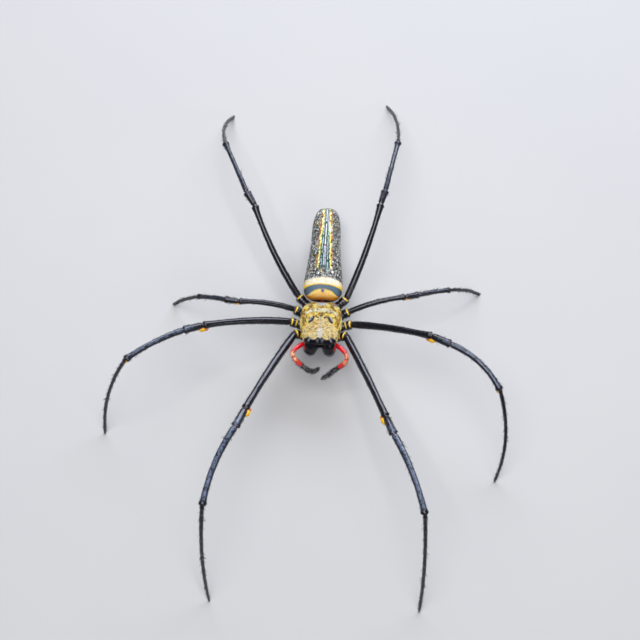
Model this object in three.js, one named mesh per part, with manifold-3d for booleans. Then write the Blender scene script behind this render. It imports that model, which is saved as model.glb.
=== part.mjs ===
// A golden silk orb weaver, an adult female, standing still on its eight feet.
// Millimetres, +Z up. The head faces -Y, and the spider's own left side is at +X.

import * as THREE from 'three';
import { mergeVertices } from 'three/addons/utils/BufferGeometryUtils.js';
import Module from 'manifold-3d';

const wasm = await Module();
wasm.setup();

// Spaces between parts that touch
const GAP = 0.25;
const EYE_GAP = 0.1;

// The front body stands this high, a little behind the middle of the footprint, nose up
const TRUNK_HEIGHT = 11.5;
const TRUNK_SHIFT = -2.4;
const TRUNK_PITCH = -9;

// Fineness of the surfaces
const LEG_SIDES = 10;
const SMALL_SIDES = 8;
const SHIELD_STEPS = { across: 28, along: 20 };
const ABDOMEN_STEPS = { across: 26, along: 24 };
const PLATE_STEPS = { across: 18, along: 10 };
const MERGE_WITHIN = 1e-4;
const SIMPLIFY_WITHIN = 0.004;

// Stations along the body: place along Y, half width, top, widest level, bottom
const CARAPACE = [
  [-6.55, 4.0, 3.5, 2.5, 2.0],
  [-5.6, 4.2, 4.2, 1.9, 1.3],
  [-4.1, 4.35, 4.35, 1.25, 0.5],
  [-2.7, 4.35, 3.95, 0.9, 0.2],
  [-1.5, 4.9, 3.45, 0.8, 0.15],
  [-0.2, 5.15, 2.95, 0.7, 0.1],
  [2.0, 5.15, 2.3, 0.6, 0.1],
  [4.4, 4.85, 2.0, 0.6, 0.1],
  [6.4, 4.2, 1.6, 0.6, 0.1],
];
const CARAPACE_ENDS = [5, 6];
const CARAPACE_CORNERS = 2.3;

// The solid middle under the carapace, between the two rows of hips
const CORE = [
  [-4.6, 1.9, 2.4, 0.0, -1.6],
  [-2.0, 2.3, 2.0, 0.0, -1.85],
  [3.0, 2.3, 1.5, 0.0, -1.85],
  [5.4, 2.4, 0.9, -0.2, -1.6],
  [6.9, 2.7, 0.2, -0.6, -1.5],
];
const CORE_ENDS = [4, 7];
const CORE_CORNERS = 3;

const STERNUM = [
  [-3.1, 2.2, -2.1, -2.35, -2.75],
  [-1.0, 2.6, -2.1, -2.35, -3.0],
  [2.0, 2.4, -2.1, -2.35, -2.95],
  [5.6, 1.2, -2.1, -2.35, -2.6],
];
const STERNUM_ENDS = [3, 2.5];
const STERNUM_CORNERS = 2.4;

const ABDOMEN = [
  [7.15, 5.1, 3.2, 1.3, -1.8],
  [9.5, 5.15, 3.8, 1.0, -2.8],
  [13.0, 4.8, 4.2, 0.4, -3.8],
  [18.0, 4.25, 4.3, 0.0, -4.4],
  [24.0, 3.75, 4.0, 0.0, -4.0],
  [29.0, 3.8, 3.5, 0.3, -2.8],
  [34.6, 3.9, 2.9, 0.9, -0.8],
];
const ABDOMEN_ENDS = [5.5, 3.4];
const ABDOMEN_CORNERS = 2.2;

// Pit and grooves of the carapace, the dip in its rear edge, and its two horns
const PIT = { y: 1.9, radius: 0.7, depth: 0.35 };
const GROOVE = { outX: 4.4, outY: -2.8, width: 0.55, depth: 0.3 };
const NOTCH = { start: 5.5, end: 6.4, width: 1.4, depth: 0.7 };
const HORN = {
  x: 2.3,
  y: 0.3,
  radius: 0.45,
  height: 0.6,
  lean: 0.1,
  girth: [[0, 1], [0.5, 0.9], [0.8, 0.55], [1, 0.2]],
};

// Eyes on the front of the head: place across and along, height, radius
const EYES = {
  front_middle: { x: 0.63, y: -6.25, z: 3.4, radius: 0.34 },
  back_middle: { x: 0.47, y: -5.72, z: 3.95, radius: 0.32 },
  front_side: { x: 2.85, y: -6.0, z: 2.9, radius: 0.26 },
  back_side: { x: 2.9, y: -5.45, z: 3.42, radius: 0.26 },
};

// Leg sizes: lengths of femur, patella, tibia and foot, radii at both ends of each,
// hip root and hip end across and along the body, and the soft pad under the knee
const LEGS = {
  1: {
    lengths: [26.1, 5.5, 20.4, 30],
    radii: [[0.95, 0.85], [0.85, 0.82], [0.8, 0.7], [0.56, 0.32]],
    root: [2.5, -2.1],
    end: [6.3, -2.2],
    pad: 1.15,
  },
  2: {
    lengths: [22.5, 5, 15.5, 26.5],
    radii: [[0.9, 0.8], [0.8, 0.76], [0.74, 0.64], [0.52, 0.32]],
    root: [2.55, 0.3],
    end: [7.6, 1.2],
    pad: 1.05,
  },
  3: {
    lengths: [14.5, 3.5, 8.5, 13.5],
    radii: [[0.7, 0.62], [0.62, 0.6], [0.58, 0.52], [0.42, 0.3]],
    root: [2.5, 2.65],
    end: [6.7, 4.8],
    pad: 0.6,
  },
  4: {
    lengths: [25.5, 4, 15.5, 25],
    radii: [[0.84, 0.7], [0.7, 0.66], [0.64, 0.56], [0.48, 0.3]],
    root: [1.95, 4.9],
    end: [5.9, 8.5],
    pad: 0,
  },
};
const HIP_ROOT_LEVEL = -1.9;
const HIP_END_LEVEL = -0.5;
const HIP_RADII = [1.0, 1.15];
const UP_BOW = [0.5, 0, 0.3, 0.6];
const PAD_PLACE = { along: 0.75, front: 0.62, down: 0.42 };
const PAD_FLATNESS = 0.72;

// The pose. Headings of femur, patella, tibia and foot are degrees anticlockwise from +X, seen
// from above; pitches of the first three are degrees above level; the foot reaches the floor.
// The side bow of each is in millimetres to the left of its heading.
const POSES = {
  leg_1_right: {
    leg: 1,
    side: -1,
    heading: [-114, -110, -106, -87],
    pitch: [19, 20, 9],
    bow: [-0.2, 0, -1.0, -0.8],
  },
  leg_1_left: {
    leg: 1,
    side: 1,
    heading: [-66, -69, -69, -87],
    pitch: [18, 25, 8],
    bow: [0.1, 0, 0.7, 0.5],
  },
  leg_2_right: {
    leg: 2,
    side: -1,
    heading: [-166, -154, -144, -122],
    pitch: [20, 19, 10],
    bow: [-0.5, 0, -0.5, -1.6],
  },
  leg_2_left: {
    leg: 2,
    side: 1,
    heading: [-18, -27, -41, -85],
    pitch: [28, 12, -6],
    bow: [0.3, 0, 1.4, 1.9],
  },
  leg_3_right: {
    leg: 3,
    side: -1,
    heading: [-177, 173, 163, 164],
    pitch: [21, -3, -30],
    bow: [-0.4, 0, 0, 0.1],
  },
  leg_3_left: {
    leg: 3,
    side: 1,
    heading: [15, 19, 18, 22],
    pitch: [10, -15, -14],
    bow: [0.4, 0, 0, 0.2],
  },
  leg_4_right: {
    leg: 4,
    side: -1,
    heading: [120, 124, 115, 91],
    pitch: [17, 8, -2],
    bow: [0.9, 0, 0, 1.3],
  },
  leg_4_left: {
    leg: 4,
    side: 1,
    heading: [72, 76, 79, 98],
    pitch: [17, -6, -6],
    bow: [-0.6, 0, 0, -1.1],
  },
};
const SEGMENTS = ['femur', 'patella', 'tibia', 'foot'];

// Girth along each kind of segment: place from 0 to 1, share of its radius
const GIRTH = {
  hip: [[0, 0.8], [0.1, 1], [0.5, 1.06], [0.62, 1], [0.67, 0.86], [0.73, 1], [0.92, 1], [1, 0.78]],
  femur: [[0, 0.75], [0.03, 0.98], [0.15, 1.03], [0.5, 1], [0.8, 0.95], [0.93, 1.05], [0.98, 1], [1, 0.78]],
  patella: [[0, 0.78], [0.1, 1], [0.45, 1.06], [0.9, 1], [1, 0.78]],
  tibia: [[0, 0.78], [0.04, 0.98], [0.2, 1], [0.6, 0.95], [0.92, 1.04], [0.98, 1], [1, 0.75]],
  foot: [
    [0, 0.8], [0.02, 1.08], [0.1, 1], [0.4, 0.98], [0.7, 1],
    [0.735, 1.08], [0.75, 0.9], [0.85, 0.95], [1, 0.9],
  ],
};

// Feelers: the right one curls in under the head, the left one reaches further down
const PALP_JOINTS = {
  palp_right: [
    [-2.3, -4.15, -2.2], [-3.5, -4.0, -1.7], [-6.5, -7.0, -1.1], [-6.1, -8.2, -1.8],
    [-3.6, -9.7, -3.5], [-1.4, -9.9, -5.1], [0.2, -8.3, -5.9],
  ],
  palp_left: [
    [2.3, -4.15, -2.2], [3.5, -4.0, -1.7], [6.6, -7.2, -1.1], [6.4, -8.7, -1.8],
    [4.0, -9.9, -3.7], [2.2, -10.5, -5.6], [0.6, -10.9, -7.1],
  ],
};
const PALP_RADIUS = 0.6;
const PALP_STEPS = 20;
const PALP_GIRTH = [
  [0, 0.7], [0.05, 0.9], [0.064, 0.78], [0.09, 0.9], [0.32, 0.96], [0.343, 0.8], [0.37, 1], [0.42, 1],
  [0.437, 0.82], [0.47, 1], [0.64, 1], [0.663, 0.8], [0.69, 0.98], [0.8, 0.95], [0.93, 0.7], [1, 0.3],
];

// Jaws and fangs, the left ones: three points that bend the middle line, from root to tip
const JAW = {
  line: [[1.85, -4.6, 1.9], [2.45, -6.9, 0.3], [2.3, -4.8, -3.6]],
  radii: [1.6, 1.55],
  sides: 14,
  girth: [[0, 0.6], [0.12, 0.9], [0.3, 1.02], [0.5, 1.06], [0.7, 1.02], [0.85, 0.82], [1, 0.42]],
};
const FANG = {
  line: [[2.3, -4.7, -3.8], [2.1, -4.6, -5.1], [0.75, -4.1, -4.8]],
  radii: [0.42, 0.32],
  sides: SMALL_SIDES,
  girth: [[0, 0.9], [0.2, 1], [0.6, 0.7], [0.9, 0.35], [1, 0.2]],
};

// Lower lip and the rounded plate on each side of it
const LIP = { y: -3.9, z: -2.45, radius: 0.8, stretch: [0.9, 1, 0.6] };
const MOUTH_PLATE = { x: 1.3, y: -4.1, z: -2.5, radius: 1.0, stretch: [0.85, 1.0, 0.62] };

// The waist between front body and abdomen
const PEDICEL = {
  line: [[0, 5.85, -0.4], [0, 6.9, 0.15], [0, 8.1, -0.25]],
  radii: [0.85, 0.85],
  sides: LEG_SIDES,
  girth: [[0, 0.8], [0.15, 1], [0.5, 0.82], [0.85, 1], [1, 0.8]],
};

// Two pairs of spinnerets on a low mound, with the small tail knob behind them
const SPINNERET_PAIRS = [
  { x: 0.62, y: 29.4, reach: 1.6 },
  { x: 0.5, y: 30.5, reach: 1.4 },
];
const SPINNERET = { top: -1.6, bottom: -2.6, slope: 0.6, converge: 0.8, radii: [0.6, 0.42] };
const SPINNERET_GIRTH = [[0, 1], [0.6, 0.95], [0.85, 0.8], [1, 0.4]];
const SPINNERET_MOUND = { y: 30.2, z: -2.2, radius: 1.2, stretch: [1.05, 1.4, 0.55] };
const TAIL_KNOB = { y: 32.2, z: -1.7, radius: 0.7, stretch: [1, 0.9, 0.8] };

const COLOURS = {
  cuticle: { color: 0x14141c, roughness: 0.25 },
  gold: { color: 0xb98a2a, roughness: 0.7 },
  pattern: { color: 0x6f7458, roughness: 0.45 },
  red: { color: 0xd01414, roughness: 0.35 },
  brown: { color: 0x5a1c10, roughness: 0.3 },
  eye: { color: 0x050508, roughness: 0.05 },
};

const radians = THREE.MathUtils.degToRad;
const UP = new THREE.Vector3(0, 0, 1);

// Solids

// Drops a geometry's seams and its collapsed triangles, so that it is one closed surface
function solidOf(geometry) {
  const plain = geometry.clone();
  plain.deleteAttribute('normal');
  plain.deleteAttribute('uv');
  const merged = mergeVertices(plain, MERGE_WITHIN);
  const corners = merged.index.array;
  const kept = [];
  for (let i = 0; i < corners.length; i += 3) {
    const [a, b, c] = [corners[i], corners[i + 1], corners[i + 2]];
    if (a !== b && b !== c && c !== a) {
      kept.push(a, b, c);
    }
  }
  const mesh = new wasm.Mesh({
    numProp: 3,
    vertProperties: new Float32Array(merged.attributes.position.array),
    triVerts: new Uint32Array(kept),
  });
  return new wasm.Manifold(mesh);
}

// The largest closed surface of a solid, as a geometry
function geometryOf(solid) {
  const pieces = solid.simplify(SIMPLIFY_WITHIN).decompose();
  const largest = pieces.reduce((a, b) => (b.volume() > a.volume() ? b : a));
  const mesh = largest.getMesh();
  const geometry = new THREE.BufferGeometry();
  geometry.setAttribute('position', new THREE.BufferAttribute(mesh.vertProperties, 3));
  geometry.setIndex(new THREE.BufferAttribute(mesh.triVerts, 1));
  geometry.computeVertexNormals();
  return geometry;
}

function part(name, solid, colour) {
  const material = new THREE.MeshStandardMaterial({ ...COLOURS[colour], metalness: 0 });
  const mesh = new THREE.Mesh(geometryOf(solid), material);
  mesh.name = name;
  return mesh;
}

function union(solids) {
  return solids.reduce((whole, next) => whole.add(next));
}

function without(solid, cutters) {
  return cutters.reduce((rest, cutter) => rest.subtract(cutter), solid);
}

function moved(geometry, change) {
  const places = geometry.attributes.position;
  const point = new THREE.Vector3();
  for (let i = 0; i < places.count; i += 1) {
    point.fromBufferAttribute(places, i);
    change(point);
    places.setXYZ(i, point.x, point.y, point.z);
  }
  return geometry;
}

// Forms drawn round stations

// The smooth value of one column of the stations at a place along the body
function at(stations, column, y) {
  const last = stations.length - 1;
  let i = 0;
  while (i < last - 1 && y > stations[i + 1][0]) {
    i += 1;
  }
  const slope = (k) => {
    const before = stations[Math.max(k - 1, 0)];
    const after = stations[Math.min(k + 1, last)];
    return (after[column] - before[column]) / (after[0] - before[0]);
  };
  const span = stations[i + 1][0] - stations[i][0];
  const t = (y - stations[i][0]) / span;
  const t2 = t * t;
  const t3 = t2 * t;
  return (2 * t3 - 3 * t2 + 1) * stations[i][column] + (t3 - 2 * t2 + t) * span * slope(i)
    + (3 * t2 - 2 * t3) * stations[i + 1][column] + (t3 - t2) * span * slope(i + 1);
}

function signedPower(value, power) {
  return Math.sign(value) * Math.abs(value) ** power;
}

// A closed form whose two ends round over; `ends` and `corners` set how square it is
function form(stations, { across, along, ends, corners, grow = 0, relief = null }) {
  const first = stations[0][0];
  const last = stations.at(-1)[0];
  const shape = new THREE.SphereGeometry(1, across, along);
  moved(shape, (point) => {
    const t = THREE.MathUtils.clamp(point.y, -1, 1);
    const y = first + ((last - first) * (t + 1)) / 2;
    const square = t < 0 ? ends[0] : ends[1];
    const ring = (1 - Math.abs(t) ** square) ** (1 / square);
    const radius = Math.hypot(point.x, point.z) || 1;
    const sideways = signedPower(point.x / radius, 2 / corners);
    const upwards = signedPower(point.z / radius, 2 / corners);
    const middle = at(stations, 3, y);
    const edge = upwards > 0 ? at(stations, 2, y) + grow - middle : middle - at(stations, 4, y) + grow;
    const inRing = Math.hypot(point.x, point.z) < MERGE_WITHIN ? 0 : ring;
    point.x = (at(stations, 1, y) + grow) * inRing * sideways;
    point.y = y + grow * t;
    point.z = middle + edge * inRing * upwards;
    if (relief !== null && upwards > 0) {
      point.z += relief(point.x, point.y) * Math.min(1, upwards * 2);
    }
  });
  return solidOf(shape);
}

function ball({ x, y, z }, radius, stretch = [1, 1, 1]) {
  const shape = new THREE.SphereGeometry(radius, SMALL_SIDES, SMALL_SIDES - 2);
  shape.scale(...stretch);
  shape.translate(x, y, z);
  return solidOf(shape);
}

// Limbs: lathes laid along a curve

// Both ends may lie on a plane, so that two neighbours meet face to face
function limb({ curve, girth, radii, sides, startNormal = null, endNormal = null, grow = 0 }) {
  const profile = [new THREE.Vector2(0, 0)];
  for (const [t, share] of girth) {
    profile.push(new THREE.Vector2(share * THREE.MathUtils.lerp(radii[0], radii[1], t) + grow, t));
  }
  profile.push(new THREE.Vector2(0, 1));
  const shape = new THREE.LatheGeometry(profile, sides);
  const length = curve.getLength();
  const reach = Math.max(...radii) * 2;
  moved(shape, (point) => {
    const t = point.y;
    const tangent = curve.getTangent(t);
    const right = tangent.clone().cross(UP).normalize();
    const up = right.clone().cross(tangent);
    const offset = right.multiplyScalar(point.x).add(up.multiplyScalar(point.z));
    const centre = curve.getPoint(t).addScaledVector(tangent, grow * (2 * t - 1));
    point.copy(centre).add(offset);
    for (const [normal, away] of [[startNormal, t * length], [endNormal, (1 - t) * length]]) {
      if (normal !== null && away < reach) {
        const slide = (-offset.dot(normal) / tangent.dot(normal)) * (1 - away / reach);
        point.addScaledVector(tangent, slide);
      }
    }
  });
  return solidOf(shape);
}

// A gently bowed line from one point to another
function bowed(start, end, side, up) {
  const along = end.clone().sub(start).normalize();
  const left = UP.clone().cross(along).normalize();
  const above = along.clone().cross(left);
  const middle = start.clone().lerp(end, 0.5);
  middle.addScaledVector(left, side * 2).addScaledVector(above, up * 2);
  return new THREE.QuadraticBezierCurve3(start, middle, end);
}

// The group of the front body and abdomen, nose up
const trunk = new THREE.Group();
trunk.rotation.x = radians(TRUNK_PITCH);
trunk.position.set(0, TRUNK_SHIFT, TRUNK_HEIGHT);
trunk.updateMatrixWorld(true);

// Legs

function hipPoints({ leg, side }) {
  const { root, end } = LEGS[leg];
  return [
    new THREE.Vector3(side * root[0], root[1], HIP_ROOT_LEVEL),
    new THREE.Vector3(side * end[0], end[1], HIP_END_LEVEL),
  ];
}

// The joints of one leg from hip end to toe; the toe lies on the floor
function legJoints(pose) {
  const { lengths } = LEGS[pose.leg];
  const joints = [hipPoints(pose)[1].applyMatrix4(trunk.matrixWorld)];
  lengths.forEach((length, i) => {
    const from = joints[i];
    const pitch = i < 3 ? radians(pose.pitch[i]) : -Math.asin(from.z / length);
    const heading = radians(pose.heading[i]);
    const step = new THREE.Vector3(
      Math.cos(heading) * Math.cos(pitch),
      Math.sin(heading) * Math.cos(pitch),
      Math.sin(pitch),
    );
    joints.push(from.clone().addScaledVector(step, length));
  });
  return joints;
}

// The plane that halves the angle between two segments
function halfway(before, joint, after) {
  const incoming = joint.clone().sub(before).normalize();
  const outgoing = after.clone().sub(joint).normalize();
  return incoming.add(outgoing).normalize();
}

// A segment between two joints, cut back half a gap from each plane
function segmentBetween(start, end, startNormal, endNormal) {
  const along = end.clone().sub(start).normalize();
  const from = start.clone();
  const to = end.clone();
  if (startNormal !== null) {
    from.addScaledVector(along, GAP / 2 / along.dot(startNormal));
  }
  if (endNormal !== null) {
    to.addScaledVector(along, -GAP / 2 / along.dot(endNormal));
  }
  return [from, to];
}

// The soft orange pad that swells out under the front of the knee
function kneePad(pose, joint, next) {
  const size = LEGS[pose.leg].pad;
  const along = next.clone().sub(joint).normalize();
  const front = along.clone().cross(UP).normalize().multiplyScalar(pose.side);
  const centre = joint.clone().addScaledVector(along, size * PAD_PLACE.along);
  centre.addScaledVector(front, size * PAD_PLACE.front).addScaledVector(UP, -size * PAD_PLACE.down);
  const shape = new THREE.SphereGeometry(size, SMALL_SIDES, SMALL_SIDES);
  shape.scale(PAD_FLATNESS, 1, PAD_FLATNESS);
  shape.applyQuaternion(new THREE.Quaternion().setFromUnitVectors(new THREE.Vector3(0, 1, 0), along));
  shape.translate(centre.x, centre.y, centre.z);
  return solidOf(shape);
}

function hip(pose, grow) {
  const [root, end] = hipPoints(pose);
  const joints = legJoints(pose);
  const rootInSpider = root.clone().applyMatrix4(trunk.matrixWorld);
  const normal = halfway(rootInSpider, joints[0], joints[1]);
  normal.applyQuaternion(trunk.quaternion.clone().invert());
  const [from, to] = segmentBetween(root, end, null, normal);
  return limb({
    curve: bowed(from, to, 0, 0),
    girth: GIRTH.hip,
    radii: HIP_RADII,
    sides: LEG_SIDES,
    endNormal: normal,
    grow,
  });
}

function legParts(name, pose) {
  const joints = legJoints(pose);
  const root = hipPoints(pose)[0].applyMatrix4(trunk.matrixWorld);
  const before = [root, ...joints];
  const solids = SEGMENTS.map((segment, i) => {
    const startNormal = halfway(before[i], joints[i], joints[i + 1]);
    const endNormal = i < 3 ? halfway(joints[i], joints[i + 1], joints[i + 2]) : null;
    const [from, to] = segmentBetween(joints[i], joints[i + 1], startNormal, endNormal);
    return (grow) => limb({
      curve: bowed(from, to, pose.bow[i], UP_BOW[i]),
      girth: GIRTH[segment],
      radii: LEGS[pose.leg].radii[i],
      sides: LEG_SIDES,
      startNormal,
      endNormal: i < 3 ? endNormal : UP,
      grow,
    });
  });
  return SEGMENTS.map((segment, i) => {
    let solid = solids[i](0);
    if (segment === 'patella' && LEGS[pose.leg].pad > 0) {
      solid = without(solid.add(kneePad(pose, joints[1], joints[2])), [solids[0](GAP)]);
    }
    return part(`${name}_${segment}`, solid, 'cuticle');
  });
}

// Front body

function carapaceRelief(x, y) {
  const pit = -PIT.depth * Math.exp(-(((Math.hypot(x, y - PIT.y)) / PIT.radius) ** 2));
  const line = new THREE.Vector2(GROOVE.outX, GROOVE.outY - PIT.y);
  const reach = line.length();
  line.normalize();
  const along = Math.abs(x) * line.x + (y - PIT.y) * line.y;
  const off = Math.abs(x) * line.y - (y - PIT.y) * line.x;
  const within = along > 0 && along < reach ? Math.sin((Math.PI * along) / reach) : 0;
  const groove = GROOVE.depth * within * Math.exp(-((off / GROOVE.width) ** 2));
  const rear = THREE.MathUtils.smoothstep(y, NOTCH.start, NOTCH.end);
  return pit - groove - NOTCH.depth * rear * Math.exp(-((x / NOTCH.width) ** 2));
}

// Height of the carapace above its widest level
function carapaceTop(x, y) {
  const first = CARAPACE[0][0];
  const last = CARAPACE.at(-1)[0];
  const t = (2 * (y - first)) / (last - first) - 1;
  const square = t < 0 ? CARAPACE_ENDS[0] : CARAPACE_ENDS[1];
  const ring = (1 - Math.abs(t) ** square) ** (1 / square);
  const out = Math.abs(x) / (at(CARAPACE, 1, y) * ring);
  const middle = at(CARAPACE, 3, y);
  const arch = (1 - out ** CARAPACE_CORNERS) ** (1 / CARAPACE_CORNERS);
  return middle + (at(CARAPACE, 2, y) - middle) * ring * arch;
}

function shield(grow) {
  return form(CARAPACE, {
    ...SHIELD_STEPS,
    ends: CARAPACE_ENDS,
    corners: CARAPACE_CORNERS,
    grow,
    relief: carapaceRelief,
  });
}

function core(grow) {
  return form(CORE, { ...PLATE_STEPS, ends: CORE_ENDS, corners: CORE_CORNERS, grow });
}

function sternumPlate(grow) {
  return form(STERNUM, { ...PLATE_STEPS, ends: STERNUM_ENDS, corners: STERNUM_CORNERS, grow });
}

function horns() {
  return [-1, 1].map((side) => {
    const z = carapaceTop(HORN.x, HORN.y);
    const start = new THREE.Vector3(side * HORN.x, HORN.y, z - HORN.height);
    const end = new THREE.Vector3(side * HORN.x, HORN.y - HORN.lean, z + HORN.height);
    return limb({
      curve: bowed(start, end, 0, 0),
      girth: HORN.girth,
      radii: [HORN.radius, HORN.radius],
      sides: SMALL_SIDES,
    });
  });
}

function abdomen(grow) {
  return form(ABDOMEN, { ...ABDOMEN_STEPS, ends: ABDOMEN_ENDS, corners: ABDOMEN_CORNERS, grow });
}

// A limb on one side whose middle line bends through three points
function bentLimb({ line, radii, sides, girth }, side, grow) {
  const points = line.map(([x, y, z]) => new THREE.Vector3(side * x, y, z));
  return limb({ curve: new THREE.QuadraticBezierCurve3(...points), girth, radii, sides, grow });
}

function palp(name, grow) {
  const joints = PALP_JOINTS[name].map((place) => new THREE.Vector3(...place));
  const curve = new THREE.CatmullRomCurve3(joints, false, 'centripetal');
  const even = new THREE.CatmullRomCurve3(curve.getSpacedPoints(PALP_STEPS), false, 'centripetal');
  return limb({ curve: even, girth: PALP_GIRTH, radii: [PALP_RADIUS, PALP_RADIUS], sides: LEG_SIDES, grow });
}

// The lower lip between two rounded plates, in front of the breastplate
function mouthparts(grow) {
  const lip = ball({ x: 0, ...LIP }, LIP.radius + grow, LIP.stretch);
  const plates = [-1, 1].map((side) => {
    const place = { ...MOUTH_PLATE, x: side * MOUTH_PLATE.x };
    return ball(place, MOUTH_PLATE.radius + grow, MOUTH_PLATE.stretch);
  });
  return union([lip, ...plates]);
}

function spinnerets() {
  const { top, bottom, slope, converge, radii } = SPINNERET;
  const cones = [];
  for (const side of [-1, 1]) {
    for (const { x, y, reach } of SPINNERET_PAIRS) {
      const start = new THREE.Vector3(side * x, y, top);
      const end = new THREE.Vector3(side * x * converge, y + reach, bottom - reach * slope);
      const curve = bowed(start, end, 0, 0);
      cones.push(limb({ curve, girth: SPINNERET_GIRTH, radii, sides: SMALL_SIDES }));
    }
  }
  for (const lump of [SPINNERET_MOUND, TAIL_KNOB]) {
    cones.push(ball({ x: 0, ...lump }, lump.radius, lump.stretch));
  }
  return union(cones);
}

// Assembly

const spider = new THREE.Group();
spider.add(trunk);

const names = Object.keys(POSES);
for (const name of names) {
  trunk.add(part(`${name}_hip`, hip(POSES[name], 0), 'cuticle'));
  spider.add(...legParts(name, POSES[name]));
}

const grownHips = names.map((name) => hip(POSES[name], GAP));
const eyeSockets = [];
for (const [name, { x, y, z, radius }] of Object.entries(EYES)) {
  for (const side of [-1, 1]) {
    const place = { x: side * x, y, z };
    eyeSockets.push(ball(place, radius + EYE_GAP));
    trunk.add(part(`eye_${name}_${side > 0 ? 'left' : 'right'}`, ball(place, radius), 'eye'));
  }
}

const grownPedicel = bentLimb(PEDICEL, 1, GAP);
const carapace = union([shield(0), core(0), ...horns()]);
trunk.add(part('carapace', without(carapace, [...grownHips, ...eyeSockets, grownPedicel]), 'gold'));

trunk.add(part('sternum', without(sternumPlate(0), grownHips), 'cuticle'));

const grownFront = union([shield(GAP), core(GAP)]);
const grownPalps = [palp('palp_left', GAP), palp('palp_right', GAP)];
const mouth = without(mouthparts(0), [sternumPlate(GAP), grownFront, ...grownPalps]);
trunk.add(part('mouthparts', mouth, 'cuticle'));
for (const side of [-1, 1]) {
  const hand = side > 0 ? 'left' : 'right';
  const jaw = without(bentLimb(JAW, side, 0), [grownFront, mouthparts(GAP), ...grownPalps]);
  trunk.add(part(`chelicera_${hand}`, jaw, 'cuticle'));
  trunk.add(part(`fang_${hand}`, without(bentLimb(FANG, side, 0), [bentLimb(JAW, side, GAP)]), 'cuticle'));
  trunk.add(part(`palp_${hand}`, palp(`palp_${hand}`, 0), 'red'));
}

trunk.add(part('pedicel', bentLimb(PEDICEL, 1, 0), 'brown'));
trunk.add(part('abdomen', without(abdomen(0), [grownPedicel, ...grownHips]), 'pattern'));
trunk.add(part('spinnerets', without(spinnerets(), [abdomen(GAP)]), 'brown'));

// The origin is under the middle of the whole spider, on the floor
const whole = new THREE.Group();
whole.add(spider);
whole.updateMatrixWorld(true);
const box = new THREE.Box3().setFromObject(whole, true);
spider.position.set(-(box.min.x + box.max.x) / 2, -(box.min.y + box.max.y) / 2, -box.min.z);

export default whole;
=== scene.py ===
# The looks of a golden silk orb weaver: an adult female standing on her eight feet.
# Lengths are millimetres until a mesh is made, and Blender's scene is in metres.
# +Z is up, the head faces -Y, and the spider's own left side is at +X.

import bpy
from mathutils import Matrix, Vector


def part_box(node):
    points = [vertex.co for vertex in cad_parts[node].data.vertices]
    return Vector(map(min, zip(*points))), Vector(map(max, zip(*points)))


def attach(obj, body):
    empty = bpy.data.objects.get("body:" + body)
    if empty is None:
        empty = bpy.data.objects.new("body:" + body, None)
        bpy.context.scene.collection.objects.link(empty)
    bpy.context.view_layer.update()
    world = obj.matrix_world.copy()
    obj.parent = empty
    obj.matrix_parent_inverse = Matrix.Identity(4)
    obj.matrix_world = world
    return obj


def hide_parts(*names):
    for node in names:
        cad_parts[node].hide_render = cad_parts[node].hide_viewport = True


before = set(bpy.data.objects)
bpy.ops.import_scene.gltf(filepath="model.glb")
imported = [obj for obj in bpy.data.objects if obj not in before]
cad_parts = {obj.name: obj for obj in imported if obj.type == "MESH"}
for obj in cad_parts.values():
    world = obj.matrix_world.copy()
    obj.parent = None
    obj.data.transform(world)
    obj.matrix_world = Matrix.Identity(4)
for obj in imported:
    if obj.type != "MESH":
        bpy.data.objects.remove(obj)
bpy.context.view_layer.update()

import math

import bpy
import numpy as np
from mathutils import Vector

MM = 0.001
TAU = 2 * math.pi
UP = np.array([0.0, 0.0, 1.0])
BODY = "root"
SIDES = {"right": -1, "left": 1}

# The front body and abdomen are drawn level, then tipped nose up and raised

TRUNK_AT = [0, -2.4, 11.5]
TRUNK_PITCH = math.radians(-9)

# Stations along the body: place along Y, half width, top, widest level, bottom

CARAPACE = [
    [-6.55, 4.0, 3.5, 2.5, 2.0],
    [-5.6, 4.2, 4.2, 1.9, 1.3],
    [-4.1, 4.35, 4.35, 1.25, 0.5],
    [-2.7, 4.35, 3.95, 0.9, 0.2],
    [-1.5, 4.9, 3.45, 0.8, 0.15],
    [-0.2, 5.15, 2.95, 0.7, 0.1],
    [2.0, 5.15, 2.3, 0.6, 0.1],
    [4.4, 4.85, 2.0, 0.6, 0.1],
    [6.4, 4.2, 1.6, 0.6, 0.1],
]
CORE = [
    [-4.6, 1.9, 2.4, 0.0, -1.6],
    [-2.0, 2.3, 2.0, 0.0, -1.85],
    [3.0, 2.3, 1.5, 0.0, -1.85],
    [5.4, 2.4, 0.9, -0.2, -1.6],
    [6.9, 2.7, 0.2, -0.6, -1.5],
]
STERNUM = [
    [-3.1, 2.2, -2.1, -2.35, -2.75],
    [-1.0, 2.6, -2.1, -2.35, -3.0],
    [2.0, 2.4, -2.1, -2.35, -2.95],
    [5.6, 1.2, -2.1, -2.35, -2.6],
]
ABDOMEN = [
    [7.15, 5.1, 3.2, 1.3, -1.8],
    [9.5, 5.15, 3.8, 1.0, -2.8],
    [13.0, 4.8, 4.2, 0.4, -3.8],
    [18.0, 4.25, 4.3, 0.0, -4.4],
    [24.0, 3.75, 4.0, 0.0, -4.0],
    [29.0, 3.8, 3.5, 0.3, -2.8],
    [34.6, 3.9, 2.9, 0.9, -0.8],
]

# Relief and bare marks of the carapace, with the places of round things as x, y and radius

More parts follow.
